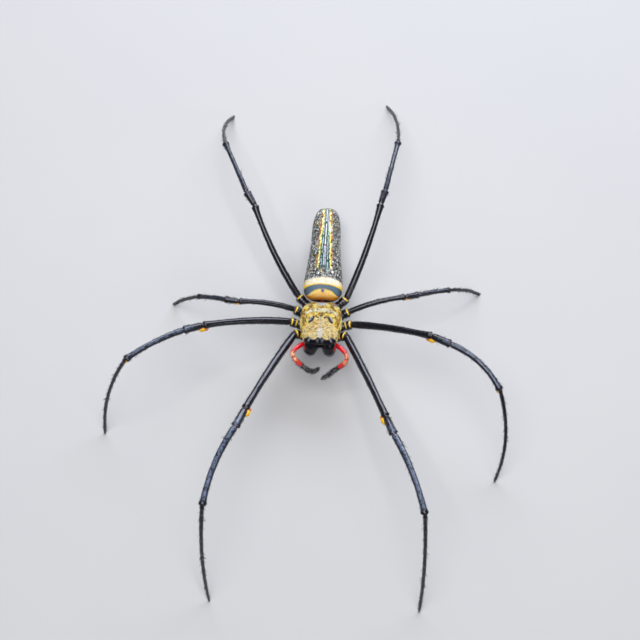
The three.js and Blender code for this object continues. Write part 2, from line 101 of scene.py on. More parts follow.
PIT = {"y": 1.9, "radius": 0.7, "depth": 0.45}
GROOVE = {"out_x": 4.4, "out_y": -2.8, "width": 0.55, "depth": 0.38}
SPOKES = {"count": 7, "depth": 0.07}
BROWS = {"places": [[0.5, -5.8], [2.85, -5.6]], "radius": 0.5, "height": 0.16}
NOTCH = {"start": 5.5, "end": 6.4, "width": 1.4, "depth": 0.7}
HORN = {"x": 2.3, "y": 0.3, "turn": math.radians(58), "length": 0.85, "width": 0.3, "height": 0.65}
HORN_BARE = [1.1, 0.42]
HORN_DOME = {"half": 0.95, "radius": 0.42, "sunk": 0.22, "drop": 0.3}
HORN_DOME_GIRTH = [[0, 0.2], [0.06, 0.5], [0.2, 0.82], [0.5, 1], [0.8, 0.82], [0.94, 0.5], [1, 0.2]]
BARE_SPOTS = [[0.8, 1.15, 0.34], [1.1, 2.7, 0.26], [2.85, -5.7, 0.65]]

# Eyes: place across and along, height, radius, and the way each looks (out, forward, up).
# Then the rim round a lens, as places out from the axis and along it, in radii.

EYES = {
    "front_middle": ([0.63, -6.25, 3.4], 0.34, [0.25, 1.0, 0.35]),
    "back_middle": ([0.47, -5.72, 3.95], 0.32, [0.2, 0.5, 1.0]),
    "front_side": ([2.85, -6.0, 2.9], 0.26, [0.7, 1.0, 0.1]),
    "back_side": ([2.9, -5.45, 3.42], 0.26, [1.0, 0.3, 0.9]),
}
EYE_RIM = [[1.18, -0.35], [1.2, 0.02], [1.12, 0.14], [1.02, 0.16], [1.0, 0.12]]

# Legs: lengths and end radii of femur, patella, tibia and foot, the hip's ends, the pads' size

LEGS = {
    1: {
        "lengths": [26.1, 5.5, 20.4, 30],
        "radii": [[0.95, 0.85], [0.85, 0.82], [0.8, 0.7], [0.56, 0.32]],
        "hip": [[2.5, -2.1], [6.3, -2.2]],
        "pad": 1.0,
    },
    2: {
        "lengths": [22.5, 5, 15.5, 26.5],
        "radii": [[0.9, 0.8], [0.8, 0.76], [0.74, 0.64], [0.52, 0.32]],
        "hip": [[2.55, 0.3], [7.6, 1.2]],
        "pad": 0.92,
    },
    3: {
        "lengths": [14.5, 3.5, 8.5, 13.5],
        "radii": [[0.7, 0.62], [0.62, 0.6], [0.58, 0.52], [0.42, 0.3]],
        "hip": [[2.5, 2.65], [6.7, 4.8]],
        "pad": 0.55,
    },
    4: {
        "lengths": [25.5, 4, 15.5, 25],
        "radii": [[0.84, 0.7], [0.7, 0.66], [0.64, 0.56], [0.48, 0.3]],
        "hip": [[1.95, 4.9], [5.9, 8.5]],
        "pad": 0,
    },
}
HIP_LEVELS = [-1.9, -0.5]
HIP_RADII = [1.0, 1.15]
UP_BOW = [0, 0.5, 0, 0.3, 0.6]

# The pose: leg, side, headings and pitches of the segments in degrees, side bows in millimetres

POSES = {
    "leg_1_right": (1, -1, [-114, -110, -106, -87], [19, 20, 9], [-0.2, 0, -1.0, -0.8]),
    "leg_1_left": (1, 1, [-66, -69, -69, -87], [18, 25, 8], [0.1, 0, 0.7, 0.5]),
    "leg_2_right": (2, -1, [-166, -154, -144, -122], [20, 19, 10], [-0.5, 0, -0.5, -1.6]),
    "leg_2_left": (2, 1, [-18, -27, -41, -85], [28, 12, -6], [0.3, 0, 1.4, 1.9]),
    "leg_3_right": (3, -1, [-177, 173, 163, 164], [21, -3, -30], [-0.4, 0, 0, 0.1]),
    "leg_3_left": (3, 1, [15, 19, 18, 22], [10, -15, -14], [0.4, 0, 0, 0.2]),
    "leg_4_right": (4, -1, [120, 124, 115, 91], [17, 8, -2], [0.9, 0, 0, 1.3]),
    "leg_4_left": (4, 1, [72, 76, 79, 98], [17, -6, -6], [-0.6, 0, 0, -1.1]),
}
SEGMENTS = ["hip", "femur", "patella", "tibia", "foot"]

# Girths along limbs, as a place from 0 to 1 and a share of the radius there

GIRTH = {
    "hip": [[0, 0.8], [0.1, 1], [0.5, 1.06], [0.62, 1], [0.67, 0.84], [0.73, 1], [0.95, 1], [1, 0.76]],
    "femur": [
        [0, 0.74], [0.025, 0.98], [0.15, 1.03], [0.5, 1], [0.8, 0.94], [0.93, 1.04], [0.975, 1.12], [1, 0.74],
    ],
    "patella": [[0, 0.74], [0.09, 1.06], [0.35, 1.12], [0.75, 1.14], [0.93, 1.2], [1, 0.74]],
    "tibia": [
        [0, 0.74], [0.03, 1.02], [0.2, 0.99], [0.6, 0.94], [0.9, 1], [0.97, 1.2], [0.985, 1.14], [1, 0.68],
    ],
    "foot": [
        [0, 0.66], [0.012, 0.98], [0.04, 0.86], [0.3, 0.86], [0.6, 0.94], [0.7, 1], [0.735, 1.08],
        [0.745, 0.8], [0.76, 0.92], [0.85, 0.9], [0.975, 0.85], [1, 0.3],
    ],
}

# How legs are drawn: the joint within the foot, where its bristles end as a count of segments,
# points round a leg and space between its rings, the knobs and flare of its far ends, and the painted blue
# sheen on the top of each leg's shins

FOOT_JOINT = 0.745
TOE_END = 4.985
LEG_AROUND = 36
RING_SPACE = 0.3
TOE_CLEARANCE = 0.02
KNOBBED = ["femur", "patella", "tibia"]
KNOB_HEIGHT = 0.13
SHIN_SHEEN_SHARE = {1: 1.0, 2: 0.75, 3: 0.3, 4: 0.4}
FLARE = {1: 0.0, 2: 0.05, 3: 0.06, 4: 0.16}

# Knee pads, with how far they reach before and after the joint, and claws

PAD_RADIUS = 0.66
PAD_REACH = {1: (0.95, 1.8), 2: (1.4, 1.45), 3: (1.2, 1.5)}
PAD_LOBES = [
    [0, 0.1], [0.06, 0.55], [0.2, 0.8], [0.34, 0.72], [0.46, 0.86], [0.68, 1], [0.88, 0.72], [0.96, 0.42],
    [1, 0.1],
]
CLAWS = {"spread": [-0.5, 0.5, 0.0], "size": [1.0, 1.0, 0.7], "radius": 0.075, "lift": 0.12}

# Feelers, jaws, fangs and waist: lines in the trunk's frame, radii and girths

PALP_JOINTS = {
    "palp_right": [
        [-2.3, -4.15, -2.2], [-3.5, -4.0, -1.7], [-6.5, -7.0, -1.1], [-6.1, -8.2, -1.8],
        [-3.6, -9.7, -3.5], [-1.4, -9.9, -5.1], [0.2, -8.3, -5.9],
    ],
    "palp_left": [
        [2.3, -4.15, -2.2], [3.5, -4.0, -1.7], [6.6, -7.2, -1.1], [6.4, -8.7, -1.8],
        [4.0, -9.9, -3.7], [2.2, -10.5, -5.6], [0.6, -10.9, -7.1],
    ],
}
PALP_NODES = [0.064, 0.343, 0.437, 0.663]
PALP_RADIUS = 0.6
PALP_GIRTH = [
    [0, 0.7], [0.05, 0.9], [0.064, 0.72], [0.08, 0.9], [0.32, 0.96], [0.343, 0.76], [0.36, 1], [0.42, 1],
    [0.437, 0.76], [0.455, 1], [0.64, 1], [0.663, 0.74], [0.68, 0.98], [0.82, 0.97], [0.95, 0.8], [1, 0.3],
]

JAW_LINE = [[1.85, -4.6, 1.9], [2.45, -6.9, 0.3], [2.3, -4.8, -3.6]]
JAW_RADII = [1.6, 1.55]
JAW_GIRTH = [[0, 0.6], [0.12, 0.9], [0.3, 1.02], [0.5, 1.06], [0.7, 1.02], [0.85, 0.82], [1, 0.3]]
FANG_LINE = [[2.3, -4.7, -3.8], [2.1, -4.6, -5.1], [0.75, -4.1, -4.8]]
FANG_RADII = [0.42, 0.32]
FANG_GIRTH = [[0, 0.9], [0.2, 1], [0.6, 0.7], [0.9, 0.35], [1, 0.1]]
PEDICEL_LINE = [[0, 5.85, -0.4], [0, 6.9, 0.15], [0, 8.1, -0.25]]
PEDICEL_RADIUS = 0.85
PEDICEL_GIRTH = [[0, 0.8], [0.15, 1], [0.5, 0.82], [0.85, 1], [1, 0.8]]

# Blobs that fuse into one form: centre, radius, stretch. Then the spinnerets: x, y, reach.

LIP = ([0, -3.9, -2.45], 0.8, [0.9, 1, 0.6])
MOUTH_PLATES = [([side * 1.3, -4.1, -2.5], 1.0, [0.85, 1, 0.62]) for side in SIDES.values()]
SPINNERET_MOUND = ([0, 30.2, -2.2], 1.2, [1.05, 1.4, 0.55])
TAIL_KNOB = ([0, 32.2, -1.7], 0.7, [1, 0.9, 0.8])
SPINNERET_PAIRS = [(0.62, 29.4, 1.6), (0.5, 30.5, 1.4)]
SPINNERET = {"top": -1.6, "bottom": -2.6, "slope": 0.6, "converge": 0.8, "radii": [0.6, 0.42]}
SPINNERET_GIRTH = [[0, 1], [0.55, 0.95], [0.62, 0.84], [0.68, 0.9], [0.88, 0.7], [1, 0.25]]

# Unevenness of a surface: wave length, seed and height

RIPPLE_WAVES = 9
ROUGHNESS = {
    "leg": (2.6, 5, 0.012),
    "pad": (0.6, 3, 0.015),
    "carapace": (1.3, 21, 0.035),
    "abdomen": (2.2, 41, 0.03),
    "limb": (1.4, 8, 0.01),
    "jaw": (1.4, 8, 0.02),
    "fang": (1.4, 8, 0),
    "down": (1.1, 9, 1),
}

# Hairs: how many, length, width, lean in degrees, thickness, arch, and how far they stray.
# Those of a leg are shorter by the last value at its toe.

HAIRS = {
    "leg": (1500, 0.5, 0.045, 32, 0.85, 0.06, 0.15),
    "spines": (70, 1.05, 0.085, 38, 0.85, 0.02, 0.15),
    "soles": (170, 0.42, 0.05, 50, 0.85, 0.06, 0.15),
    "down": (9000, 0.42, 0.1, 14, 0.28, 0.1, 0.3),
    "upright": (350, 0.5, 0.04, 48, 0.8, 0.06, 0.15),
    "jaw": (130, 0.34, 0.035, 30, 0.8, 0.06, 0.15),
    "jaw_fringe": (200, 0.6, 0.045, 50, 0.8, 0.06, 0.15),
    "feeler": (420, 0.4, 0.04, 38, 0.8, 0.06, 0.15),
    "feeler_long": (150, 0.65, 0.05, 42, 0.8, 0.1, 0.15),
    "breastplate": (420, 0.5, 0.035, 35, 0.8, 0.06, 0.15),
    "mouth": (150, 0.4, 0.04, 60, 0.8, 0.06, 0.15),
    "abdomen": (3000, 0.3, 0.028, 26, 0.8, 0.06, 0.15),
    "spinneret": (130, 0.3, 0.035, 30, 0.8, 0.06, 0.15),
}
LEG_HAIR_THINNING = 0.12

# The camera: what it looks at in the spider's frame, and how far, high and far round it stands

CAMERA_TARGET = [-0.32, -0.34, 10.5]
CAMERA_DISTANCE = 299.47
CAMERA_ELEVATION = math.radians(68.22)
CAMERA_AZIMUTH = math.radians(2.96)
CAMERA_LENS = 68.4
CAMERA_SENSOR = 36.0

# Lights, in metres: place, size, power and colour

LIGHT_TARGET = (0, 0, 0.01)
LIGHTS = {
    "key": ((-0.04, -0.02, 0.46), (0.32, 0.28), 1.5, (1.0, 0.98, 0.98)),
    "back": ((0.1, 0.55, 0.4), (0.8, 0.3), 5.2, (0.86, 0.9, 1.0)),
    "front": ((0.3, -0.36, 0.4), (0.24, 0.18), 0.5, (1.0, 0.97, 0.94)),
}
WORLD_COLOUR = (0.9, 0.93, 1.0, 1.0)
WORLD_STRENGTH = 0.12
FLOOR_HALF = 1500.0


# Frames


def trunk_turn():
    cos, sin = math.cos(TRUNK_PITCH), math.sin(TRUNK_PITCH)
    return np.array([[1, 0, 0], [0, cos, sin], [0, -sin, cos]])


def from_trunk(points):
    """Points of the level trunk in the spider's frame."""
    return np.asarray(points, float) @ trunk_turn() + TRUNK_AT


def to_trunk(points):
    """The reverse of from_trunk."""
    return (points - TRUNK_AT) @ trunk_turn().T


# How far the frame's origin lies from the spider's, read from one eye

SHIFT = np.mean(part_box("eye_back_middle_left"), 0) / MM - from_trunk(EYES["back_middle"][0])


# Small mathematics, mostly on arrays


def unit(vectors):
    return vectors / np.maximum(np.linalg.norm(vectors, axis=-1, keepdims=True), 1e-12)


def smooth_step(value, low, high):
    t = np.clip((value - low) / (high - low), 0, 1)
    return t * t * (3 - 2 * t)


def bump_at(value, middle, width):
    """1 at the middle, falling to nothing at about two widths from it."""
    return np.exp(-(((value - middle) / width) ** 2))


def circle(count):
    """The cosines and sines of even turns."""
    turn = np.arange(count) * TAU / count
    return np.cos(turn), np.sin(turn)


def eased(table, t):
    """Values of a table of (place, value), level at each entry."""
    places, values = np.array(table, float).T
    i = np.clip(np.searchsorted(places, t, side="right") - 1, 0, len(places) - 2)
    return values[i] + (values[i + 1] - values[i]) * smooth_step(t, places[i], places[i + 1])


def cubic(t, start, start_slope, end, end_slope):
    """A curve from one value and slope to another, for t from 0 to 1."""
    first = (2 * t**3 - 3 * t**2 + 1) * start + (t**3 - 2 * t**2 + t) * start_slope
    return first + (3 * t**2 - 2 * t**3) * end + (t**3 - t**2) * end_slope


def stationed(stations, y):
    """A smooth row of the stations' columns for each place along the body."""
    table = np.array(stations, float)
    padded = table[[0, *range(len(table)), -1]]
    rise = padded[2:] - padded[:-2]
    slope = rise / rise[:, :1]
    i = np.clip(np.searchsorted(table[:, 0], y) - 1, 0, len(table) - 2)
    here, there = table[i], table[i + 1]
    span = (there - here)[:, :1]
    t = (np.array(y)[:, None] - here[:, :1]) / span
    return cubic(t, here, span * slope[i], there, span * slope[i + 1])


def ripple(points, kind):
    """Soft unevenness from a few crossed waves."""
    scale, seed, height = ROUGHNESS[kind]
    rng = np.random.default_rng(seed)
    total = np.zeros(points.shape[:-1])
    for _ in range(RIPPLE_WAVES):
        direction = unit(rng.normal(size=3)) * TAU / (scale * rng.uniform(0.7, 1.4))
        total += np.sin(points @ direction + rng.uniform(0, TAU))
    return total / math.sqrt(RIPPLE_WAVES) * height


def lengths(line):
    """How far along a polyline each of its points lies."""
    return np.concatenate([[0], np.cumsum(np.linalg.norm(np.diff(line, axis=0), axis=1))])


def along_line(line, length, at):
    """Points at distances along a polyline."""
    return np.stack([np.interp(at, length, line[:, k]) for k in range(3)], -1)


def even_line(line, count):
    """Points at even spaces along a polyline."""
    length = lengths(line)
    return along_line(line, length, np.linspace(0, length[-1], count))


def smooth_line(points, count):
    """A smooth line through the points, with knots spaced by the root of the distance."""
    points = np.array(points, float)
    padded = np.vstack([2 * points[0] - points[1], points, 2 * points[-1] - points[-2]])
    knots = np.sqrt(np.linalg.norm(np.diff(padded, axis=0), axis=1))
    pieces = []
    for i in range(1, len(padded) - 2):
        a, b, c, d = padded[i - 1 : i + 3]
        before, here, after = knots[i - 1 : i + 2]
        start = ((b - a) / before - (c - a) / (before + here) + (c - b) / here) * here
        end = ((c - b) / here - (d - b) / (here + after) + (d - c) / after) * here
        pieces.append(cubic(np.linspace(0, 1, 40)[:, None], b, start, c, end))
    return even_line(np.vstack(pieces), count)


def bezier(start, middle, end, t):
    t = np.asarray(t)[:, None]
    return (1 - t) ** 2 * start + 2 * t * (1 - t) * middle + t**2 * end


def bent(line, count, side=1):
    """A curve whose middle line is bent by three points, mirrored to one side."""
    points = np.array(line, float) * [side, 1, 1]
    return even_line(bezier(*points, np.linspace(0, 1, 200)), count)


def horn_axes(wide, y):
    """Places along and across a horn, of arrays or of a material's numbers."""
    cos, sin = math.cos(HORN["turn"]), math.sin(HORN["turn"])
    out, back = wide - HORN["x"], y - HORN["y"]
    return out * cos - back * sin, out * sin + back * cos


# Skins: closed surfaces of rings


def corners_of(grid):
    """The four corners of every cell of a grid of rings."""
    after = np.roll(grid, -1, axis=1)
    return grid[:-1], after[:-1], after[1:], grid[1:]


class Skin:
    """Rings of points from one end of a form to the other, closed by a point at each end."""

    def __init__(self, rings, ends, **fields):
        self.rings = rings
        self.ends = np.array(ends, float)
        self.fields = fields

    def faces(self):
        count, around = self.rings.shape[:2]
        index = np.arange(count * around).reshape(count, around)
        quads = np.stack(corners_of(index), -1).reshape(-1, 4)
        first, last = index[0], index[-1]
        start = np.stack([np.roll(first, -1), first, np.full(around, count * around)], -1)
        end = np.stack([last, np.roll(last, -1), np.full(around, count * around + 1)], -1)
        return quads, np.vstack([start, end])

    def points(self):
        return np.vstack([self.rings.reshape(-1, 3), self.ends])

    def values(self, name):
        """A field's values for every point, the end points last."""
        grid = self.fields[name]
        flat = grid.reshape(-1, *grid.shape[2:])
        return np.concatenate([flat, [grid[0].mean(0), grid[-1].mean(0)]])

    def normals(self):
        a, b, c, d = corners_of(self.rings)
        normal = unit(np.cross(b - a + c - d, d - a + c - b))
        outward = np.sum(normal * (a - self.rings.mean(1)[:-1, None]), -1)
        return normal * (1 if outward.sum() > 0 else -1)

    def hairs(self, rng, kind, density=1.0):
        """Hairs of one kind at random places, by area and by a density from 0 to 1."""
        count, length, width, lean, thick, arch, stray = HAIRS[kind]
        a, b, c, d = corners_of(self.rings)
        area = np.linalg.norm(np.cross(b - a, d - a), axis=-1)
        weight = area * np.broadcast_to(density, self.rings.shape[:2])[:-1]
        chosen = rng.choice(area.size, count, p=(weight / weight.sum()).ravel())
        row, turn = np.unravel_index(chosen, area.shape)
        s, t = rng.random((2, count, 1))
        a, b, c, d = (corner[row, turn] for corner in (a, b, c, d))
        return {
            "point": (a * (1 - s) + b * s) * (1 - t) + (d * (1 - s) + c * s) * t,
            "along": unit(d - a),
            "normal": self.normals()[row, turn],
            "uv": np.hstack([(turn[:, None] + s) / area.shape[1], (row[:, None] + t) / area.shape[0]]),
            "place": self.fields["place"][row, turn],
            "length": length,
            "width": width,
            "lean": math.radians(lean),
            "thick": thick,
            "arch": arch,
            "stray": stray,
        }


def trunk_skin(points, tips, **fields):
    """A skin drawn in the trunk's frame, where its material finds its places."""
    return Skin(from_trunk(points), from_trunk(tips), place=points, **fields)


def swept(line, radius, around, reach=1.1):
    """Rings round a line. Each ring faces along a chord, so that bends keep a smooth inside."""
    length = lengths(line)
    ahead = along_line(line, length, np.minimum(length + radius * reach, length[-1]))
    behind = along_line(line, length, np.maximum(length - radius * reach, 0))
    tangent = unit(ahead - behind)
    right = unit(np.cross(tangent, UP))
    up = np.cross(right, tangent)
    cos, sin = circle(around)
    across = right[:, None] * cos[:, None] + up[:, None] * sin[:, None]
    rings = line[:, None] + across * radius[:, None, None]
    tips = [line[0] - tangent[0] * radius[0] * 0.3, line[-1] + tangent[-1] * radius[-1] * 0.5]
    return rings, tips, np.broadcast_to(sin, rings.shape[:2])


def swollen(rings, line, height):
    """Rings moved out from their line by a height for each point."""
    return rings + unit(rings - line[:, None]) * height[..., None]


def body_form(stations, ends, corners, along, around, relief=None):
    """A closed form drawn through the stations, its ends rounded over, in the trunk's frame."""
    t = -np.cos(np.linspace(0, math.pi, along + 2)[1:-1])
    first, last = stations[0][0], stations[-1][0]
    y = first + (last - first) * (t + 1) / 2
    square = np.where(t < 0, ends[0], ends[1])
    ring = ((1 - np.abs(t) ** square) ** (1 / square))[:, None]
    sideways, upwards = (np.sign(c) * np.abs(c) ** (2 / corners) for c in circle(around))
    width, top, middle, bottom = stationed(stations, y).T[1:, :, None]
    x = width * ring * sideways
    z = middle + np.where(upwards > 0, top - middle, middle - bottom) * ring * upwards
    points = np.stack(np.broadcast_arrays(x, y[:, None], z), -1)
    if relief is not None:
        points[..., 2] += relief(points) * np.clip(upwards * 2, 0, 1)
    return points, [[0, row[0], row[3]] for row in stationed(stations, [first, last])]


def trunk_limb(line, radii, girth, around, rough="limb"):
    """A limb of the trunk, swept along a line in the trunk's frame."""
    t = np.linspace(0, 1, len(line))
    radius = (radii[0] + (radii[1] - radii[0]) * t) * eased(girth, t)
    rings, tips, dorsal = swept(line, radius, around)
    skin = trunk_skin(swollen(rings, line, ripple(rings, rough)), tips)
    skin.t, skin.dorsal = t[:, None], dorsal
    return skin


def blob(place, radius, stretch):
    """A ball stretched along the three axes, in the trunk's frame."""
    turn = np.linspace(0, math.pi, 26)[1:-1, None]
    ring = np.sin(turn)
    cos, sin = circle(36)
    shape = np.stack(np.broadcast_arrays(ring * cos, -np.cos(turn), ring * sin), -1)
    size = radius * np.array(stretch)
    return trunk_skin(place + shape * size, place + np.array([[0, -1, 0], [0, 1, 0]]) * size)


# Meshes


def inside_out(points, triangles):
    """Whether a closed surface's triangles face in."""
    a, b, c = (points[triangles[:, k]] for k in range(3))
    return np.sum(a * np.cross(b, c)) <= 0


def write_field(mesh, name, values):
    """Stores a number or vector for each point of a mesh, which its material reads."""
    kind, key = ("FLOAT_VECTOR", "vector") if values.ndim == 2 else ("FLOAT", "value")
    mesh.attributes.new(name, kind, "POINT").data.foreach_set(key, values.astype(np.float32).ravel())


def make_object(name, points, faces, material, fields, slot=None, nodes=(), uv=None):
    """A mesh object from points in the spider's frame, in the place of the CAD nodes named."""
    mesh = bpy.data.meshes.new(name)
    mesh.from_pydata(((points + SHIFT) * MM).tolist(), [], faces)
    mesh.polygons.foreach_set("use_smooth", np.ones(len(mesh.polygons), bool))
    for field, values in fields.items():
        write_field(mesh, field, values)
    if uv is not None:
        corners = np.zeros(len(mesh.loops), np.int32)
        mesh.loops.foreach_get("vertex_index", corners)
        layer = mesh.uv_layers.new(name="OFBake")
        layer.data.foreach_set("uv", uv[corners].astype(np.float32).ravel())
    mesh.materials.append(material)
    mesh.update()
    thing = bpy.data.objects.new(name, mesh)
    bpy.context.scene.collection.objects.link(thing)
    if slot:
        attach(thing, BODY)
    if nodes:
        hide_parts(*nodes)
    return thing


def show(name, skins, material, slot, nodes=()):
    """One piece from one or more skins."""
    points, faces, offset = [], [], 0
    for skin in skins:
        own = skin.points()
        quads, tris = skin.faces()
        if inside_out(own - own.mean(0), np.vstack([quads[:, [0, 1, 2]], quads[:, [0, 2, 3]], tris])):
            quads, tris = quads[:, ::-1], tris[:, ::-1]
        faces += (quads + offset).tolist() + (tris + offset).tolist()
        points.append(own)
        offset += len(own)
    fields = {key: np.concatenate([s.values(key) for s in skins]) for key in skins[0].fields}
    return make_object(name, np.vstack(points), faces, material, fields, slot, nodes)


def fuse(name, skins, voxel, material, slot, nodes):
    """One piece whose overlapping forms are melted into one skin."""
    thing = show(name, skins, material, slot, nodes)
    bpy.context.view_layer.objects.active = thing
    remesh = thing.modifiers.new("fuse", "REMESH")
    remesh.mode = "VOXEL"
    remesh.voxel_size = voxel * MM
    remesh.use_smooth_shade = True
    soften = thing.modifiers.new("soften", "SMOOTH")
    soften.iterations = 4
    soften.factor = 0.5
    depsgraph = bpy.context.evaluated_depsgraph_get()
    melted = bpy.data.meshes.new_from_object(thing.evaluated_get(depsgraph))
    thing.modifiers.clear()
    thing.data = melted
    if not melted.materials:
        melted.materials.append(material)
    places = np.zeros(len(melted.vertices) * 3)
    melted.vertices.foreach_get("co", places)
    if "place" in melted.attributes:
        melted.attributes.remove(melted.attributes["place"])
    write_field(melted, "place", to_trunk(places.reshape(-1, 3) / MM - SHIFT))


# A bristle: three edges, a waist and a tip. Its own little patch of the bake map is this wide.

PATCH = 0.0015
PATCH_SHAPE = np.array([[-1, -1], [1, -1], [0, -0.7], [-0.8, 0.1], [0.8, 0.1], [0, 0.3], [0, 1]]) * PATCH
BRISTLE_FACES = np.array([
    [0, 1, 4], [0, 4, 3], [1, 2, 5], [1, 5, 4], [2, 0, 3],
    [2, 3, 5], [3, 4, 6], [4, 5, 6], [5, 3, 6], [0, 2, 1],
])
BRISTLE_TIP = [0, 0, 0, 0.5, 0.5, 0.5, 1]
BRISTLE_SUNK = 0.03


def bristles(name, groups, material, slot, rng):
    """A coat of thin curved bristles from groups of hairs."""
    points, shades = [], []
    for hairs in groups:
        count = len(hairs["point"])
        normal, way = hairs["normal"], hairs["along"]
        way = unit(way - normal * np.sum(way * normal, -1, keepdims=True))
        way = unit(way + np.cross(normal, way) * rng.normal(0, hairs["stray"], count)[:, None])
        length = (hairs["length"] * rng.uniform(0.7, 1.2, count))[:, None]
        grow = way * np.cos(hairs["lean"]) + normal * np.sin(hairs["lean"])
        side = unit(np.cross(normal, way)) * hairs["width"]
        lift = np.cross(grow, side) * hairs["thick"]
        lift *= np.sign(np.sum(lift * normal, -1, keepdims=True))
        root = hairs["point"] - normal * BRISTLE_SUNK
        waist = root + grow * length * 0.5 + normal * length * hairs["arch"]
        shape = [root - side * 0.5, root + side * 0.5, root + lift, waist - side * 0.42, waist + side * 0.42]
        points.append(np.stack([*shape, waist + lift * 0.8, root + grow * length], 1))
        shades.append(rng.random(count))
    points = np.vstack(points)
    each = points.shape[1]
    place, uv = (np.vstack([hairs[key] for hairs in groups]) for key in ("place", "uv"))
    faces = (BRISTLE_FACES + (np.arange(len(points)) * each)[:, None, None]).reshape(-1, 3)
    if inside_out(points[0] - points[0].mean(0), BRISTLE_FACES):
        faces = faces[:, ::-1]
    fields = {
        "place": np.repeat(place, each, 0),
        "shade": np.repeat(np.concatenate(shades), each),
        "tip": np.tile(BRISTLE_TIP, len(points)),
    }
    uv = (uv[:, None] * 0.99 + 0.005 + PATCH_SHAPE).reshape(-1, 2)
    make_object(name, points.reshape(-1, 3), faces.tolist(), material, fields, slot, uv=uv)


# Short ways to write a material's nodes


def operation(name, swapped=False):
    """A method that works out one step of mathematics."""

    def method(self, *others):
        values = (*others, self) if swapped else (self, *others)
        return self.look.node("Math", dict(enumerate(values)), operation=name)

    return method


class Number:
    """A socket of a material's nodes that Python's operators work on."""

    def __init__(self, look, socket):
        self.look = look
        self.socket = socket

    __add__ = __radd__ = operation("ADD")
    __sub__ = operation("SUBTRACT")
    __rsub__ = operation("SUBTRACT", swapped=True)
    __mul__ = __rmul__ = operation("MULTIPLY")
    __truediv__ = operation("DIVIDE")
    __abs__ = operation("ABSOLUTE")
    most = operation("MAXIMUM")
    least = operation("MINIMUM")
    root = operation("SQRT")
    angle = operation("ARCTAN2")
    fraction = operation("FRACT")

    def rise(self, low, high):
        """0 below low and 1 above high, smooth between them; low may be the larger one."""
        inputs = {"Value": self, "From Min": low, "From Max": high}
        return self.look.node("MapRange", inputs, interpolation_type="SMOOTHSTEP")

    def line(self, middle, half, soft):
        """1 within half of the middle, falling off over soft."""
        return abs(self - middle).rise(half + soft, half)

    def sway(self, amount):
        """Noise as an amount to either side of nothing."""
        return (self - 0.5) * amount

    def split(self):
        """The x, y and z of a vector."""
        x = self.look.node("SeparateXYZ", {0: self})
        return [Number(self.look, output) for output in x.socket.node.outputs]

    def stretch(self, x, y, z):
        return self.look.node("VectorMath", {0: self, 1: (x, y, z)}, operation="MULTIPLY")

    def noise(self, scale, detail=2, roughness=0.5, distortion=0.0):
        """Soft noise, mostly 0.25 to 0.75, with `scale` waves a millimetre."""
        inputs = {"Vector": self, "Scale": scale, "Detail": detail}
        return self.look.node("TexNoise", inputs | {"Roughness": roughness, "Distortion": distortion}, "Fac")


class Look:
    """A material with one principled shader and the nodes that feed it."""

    def __init__(self, name, **settings):
        self.material = bpy.data.materials.new(name)
        self.material.use_nodes = True
        self.tree = self.material.node_tree
        self.shader = self.tree.nodes["Principled BSDF"].inputs
        for key, value in settings.items():
            self.feed(self.shader[key.replace("_", " ")], value)
        self.place = self.field("place", "Vector")

    def node(self, kind, inputs, output=0, **settings):
        """One output of a new node whose inputs are fed."""
        node = self.tree.nodes.new("ShaderNode" + kind)
        for key, value in settings.items():
            setattr(node, key, value)
        for key, value in inputs.items():
            self.feed(node.inputs[key], value)
        return Number(self, node.outputs[output])

    def feed(self, slot, value):
        if isinstance(value, Number):
            self.tree.links.new(value.socket, slot)
        elif isinstance(value, tuple):
            slot.default_value = [*value, 1.0][: len(slot.default_value)]
        else:
            slot.default_value = value

    def field(self, name, output="Fac"):
        """What the mesh says at each point."""
        return self.node("Attribute", {}, output, attribute_name=name)

    def bump(self, height, depth, strength):
        """Relief of `depth` millimetres for a height from 0 to 1."""
        inputs = {"Height": height, "Distance": depth * MM, "Strength": strength}
        self.feed(self.shader["Normal"], self.node("Bump", inputs))

    def finish(self, colour, roughness):
        self.feed(self.shader["Base Color"], colour)
        self.feed(self.shader["Roughness"], roughness)
        return self.material


def distance(first, second):
    return (first * first + second * second).root()


def mix(first, second, share):
    return share.look.node("Mix", {0: share, 6: first, 7: second}, 2, data_type="RGBA")


def layers(ground, *coats):
    """A ground colour with (colour, share) laid over it in turn."""
    for colour, share in coats:
        ground = mix(ground, colour, share)
    return ground


# Materials. Colours are linear.

BLACK = (0.006, 0.006, 0.009)
SOOT = (0.016, 0.017, 0.026)
BROWN = (0.05, 0.016, 0.008)
DARK_BROWN = (0.03, 0.014, 0.005)
YELLOW = (0.84, 0.55, 0.012)
ORANGE = (0.78, 0.23, 0.008)
AMBER = (0.85, 0.4, 0.04)
PALE_GOLD = (1.0, 0.88, 0.26)
GOLD = (1.0, 0.6, 0.03)
UMBER = (0.16, 0.065, 0.006)
TAN = (1.0, 0.62, 0.14)
CREAM = (0.84, 0.73, 0.44)
WHITE = (0.86, 0.84, 0.8)
LILAC = (0.56, 0.52, 0.66)
SILVER = (0.62, 0.7, 0.68)
SLATE = (0.045, 0.09, 0.14)
TEAL = (0.03, 0.14, 0.12)
GREEN = (0.03, 0.16, 0.07)
OLIVE = (0.016, 0.018, 0.012)
RUST = (0.42, 0.14, 0.025)
RED = (0.85, 0.012, 0.025)
STEEL_SHEEN = (0.13, 0.17, 0.26)


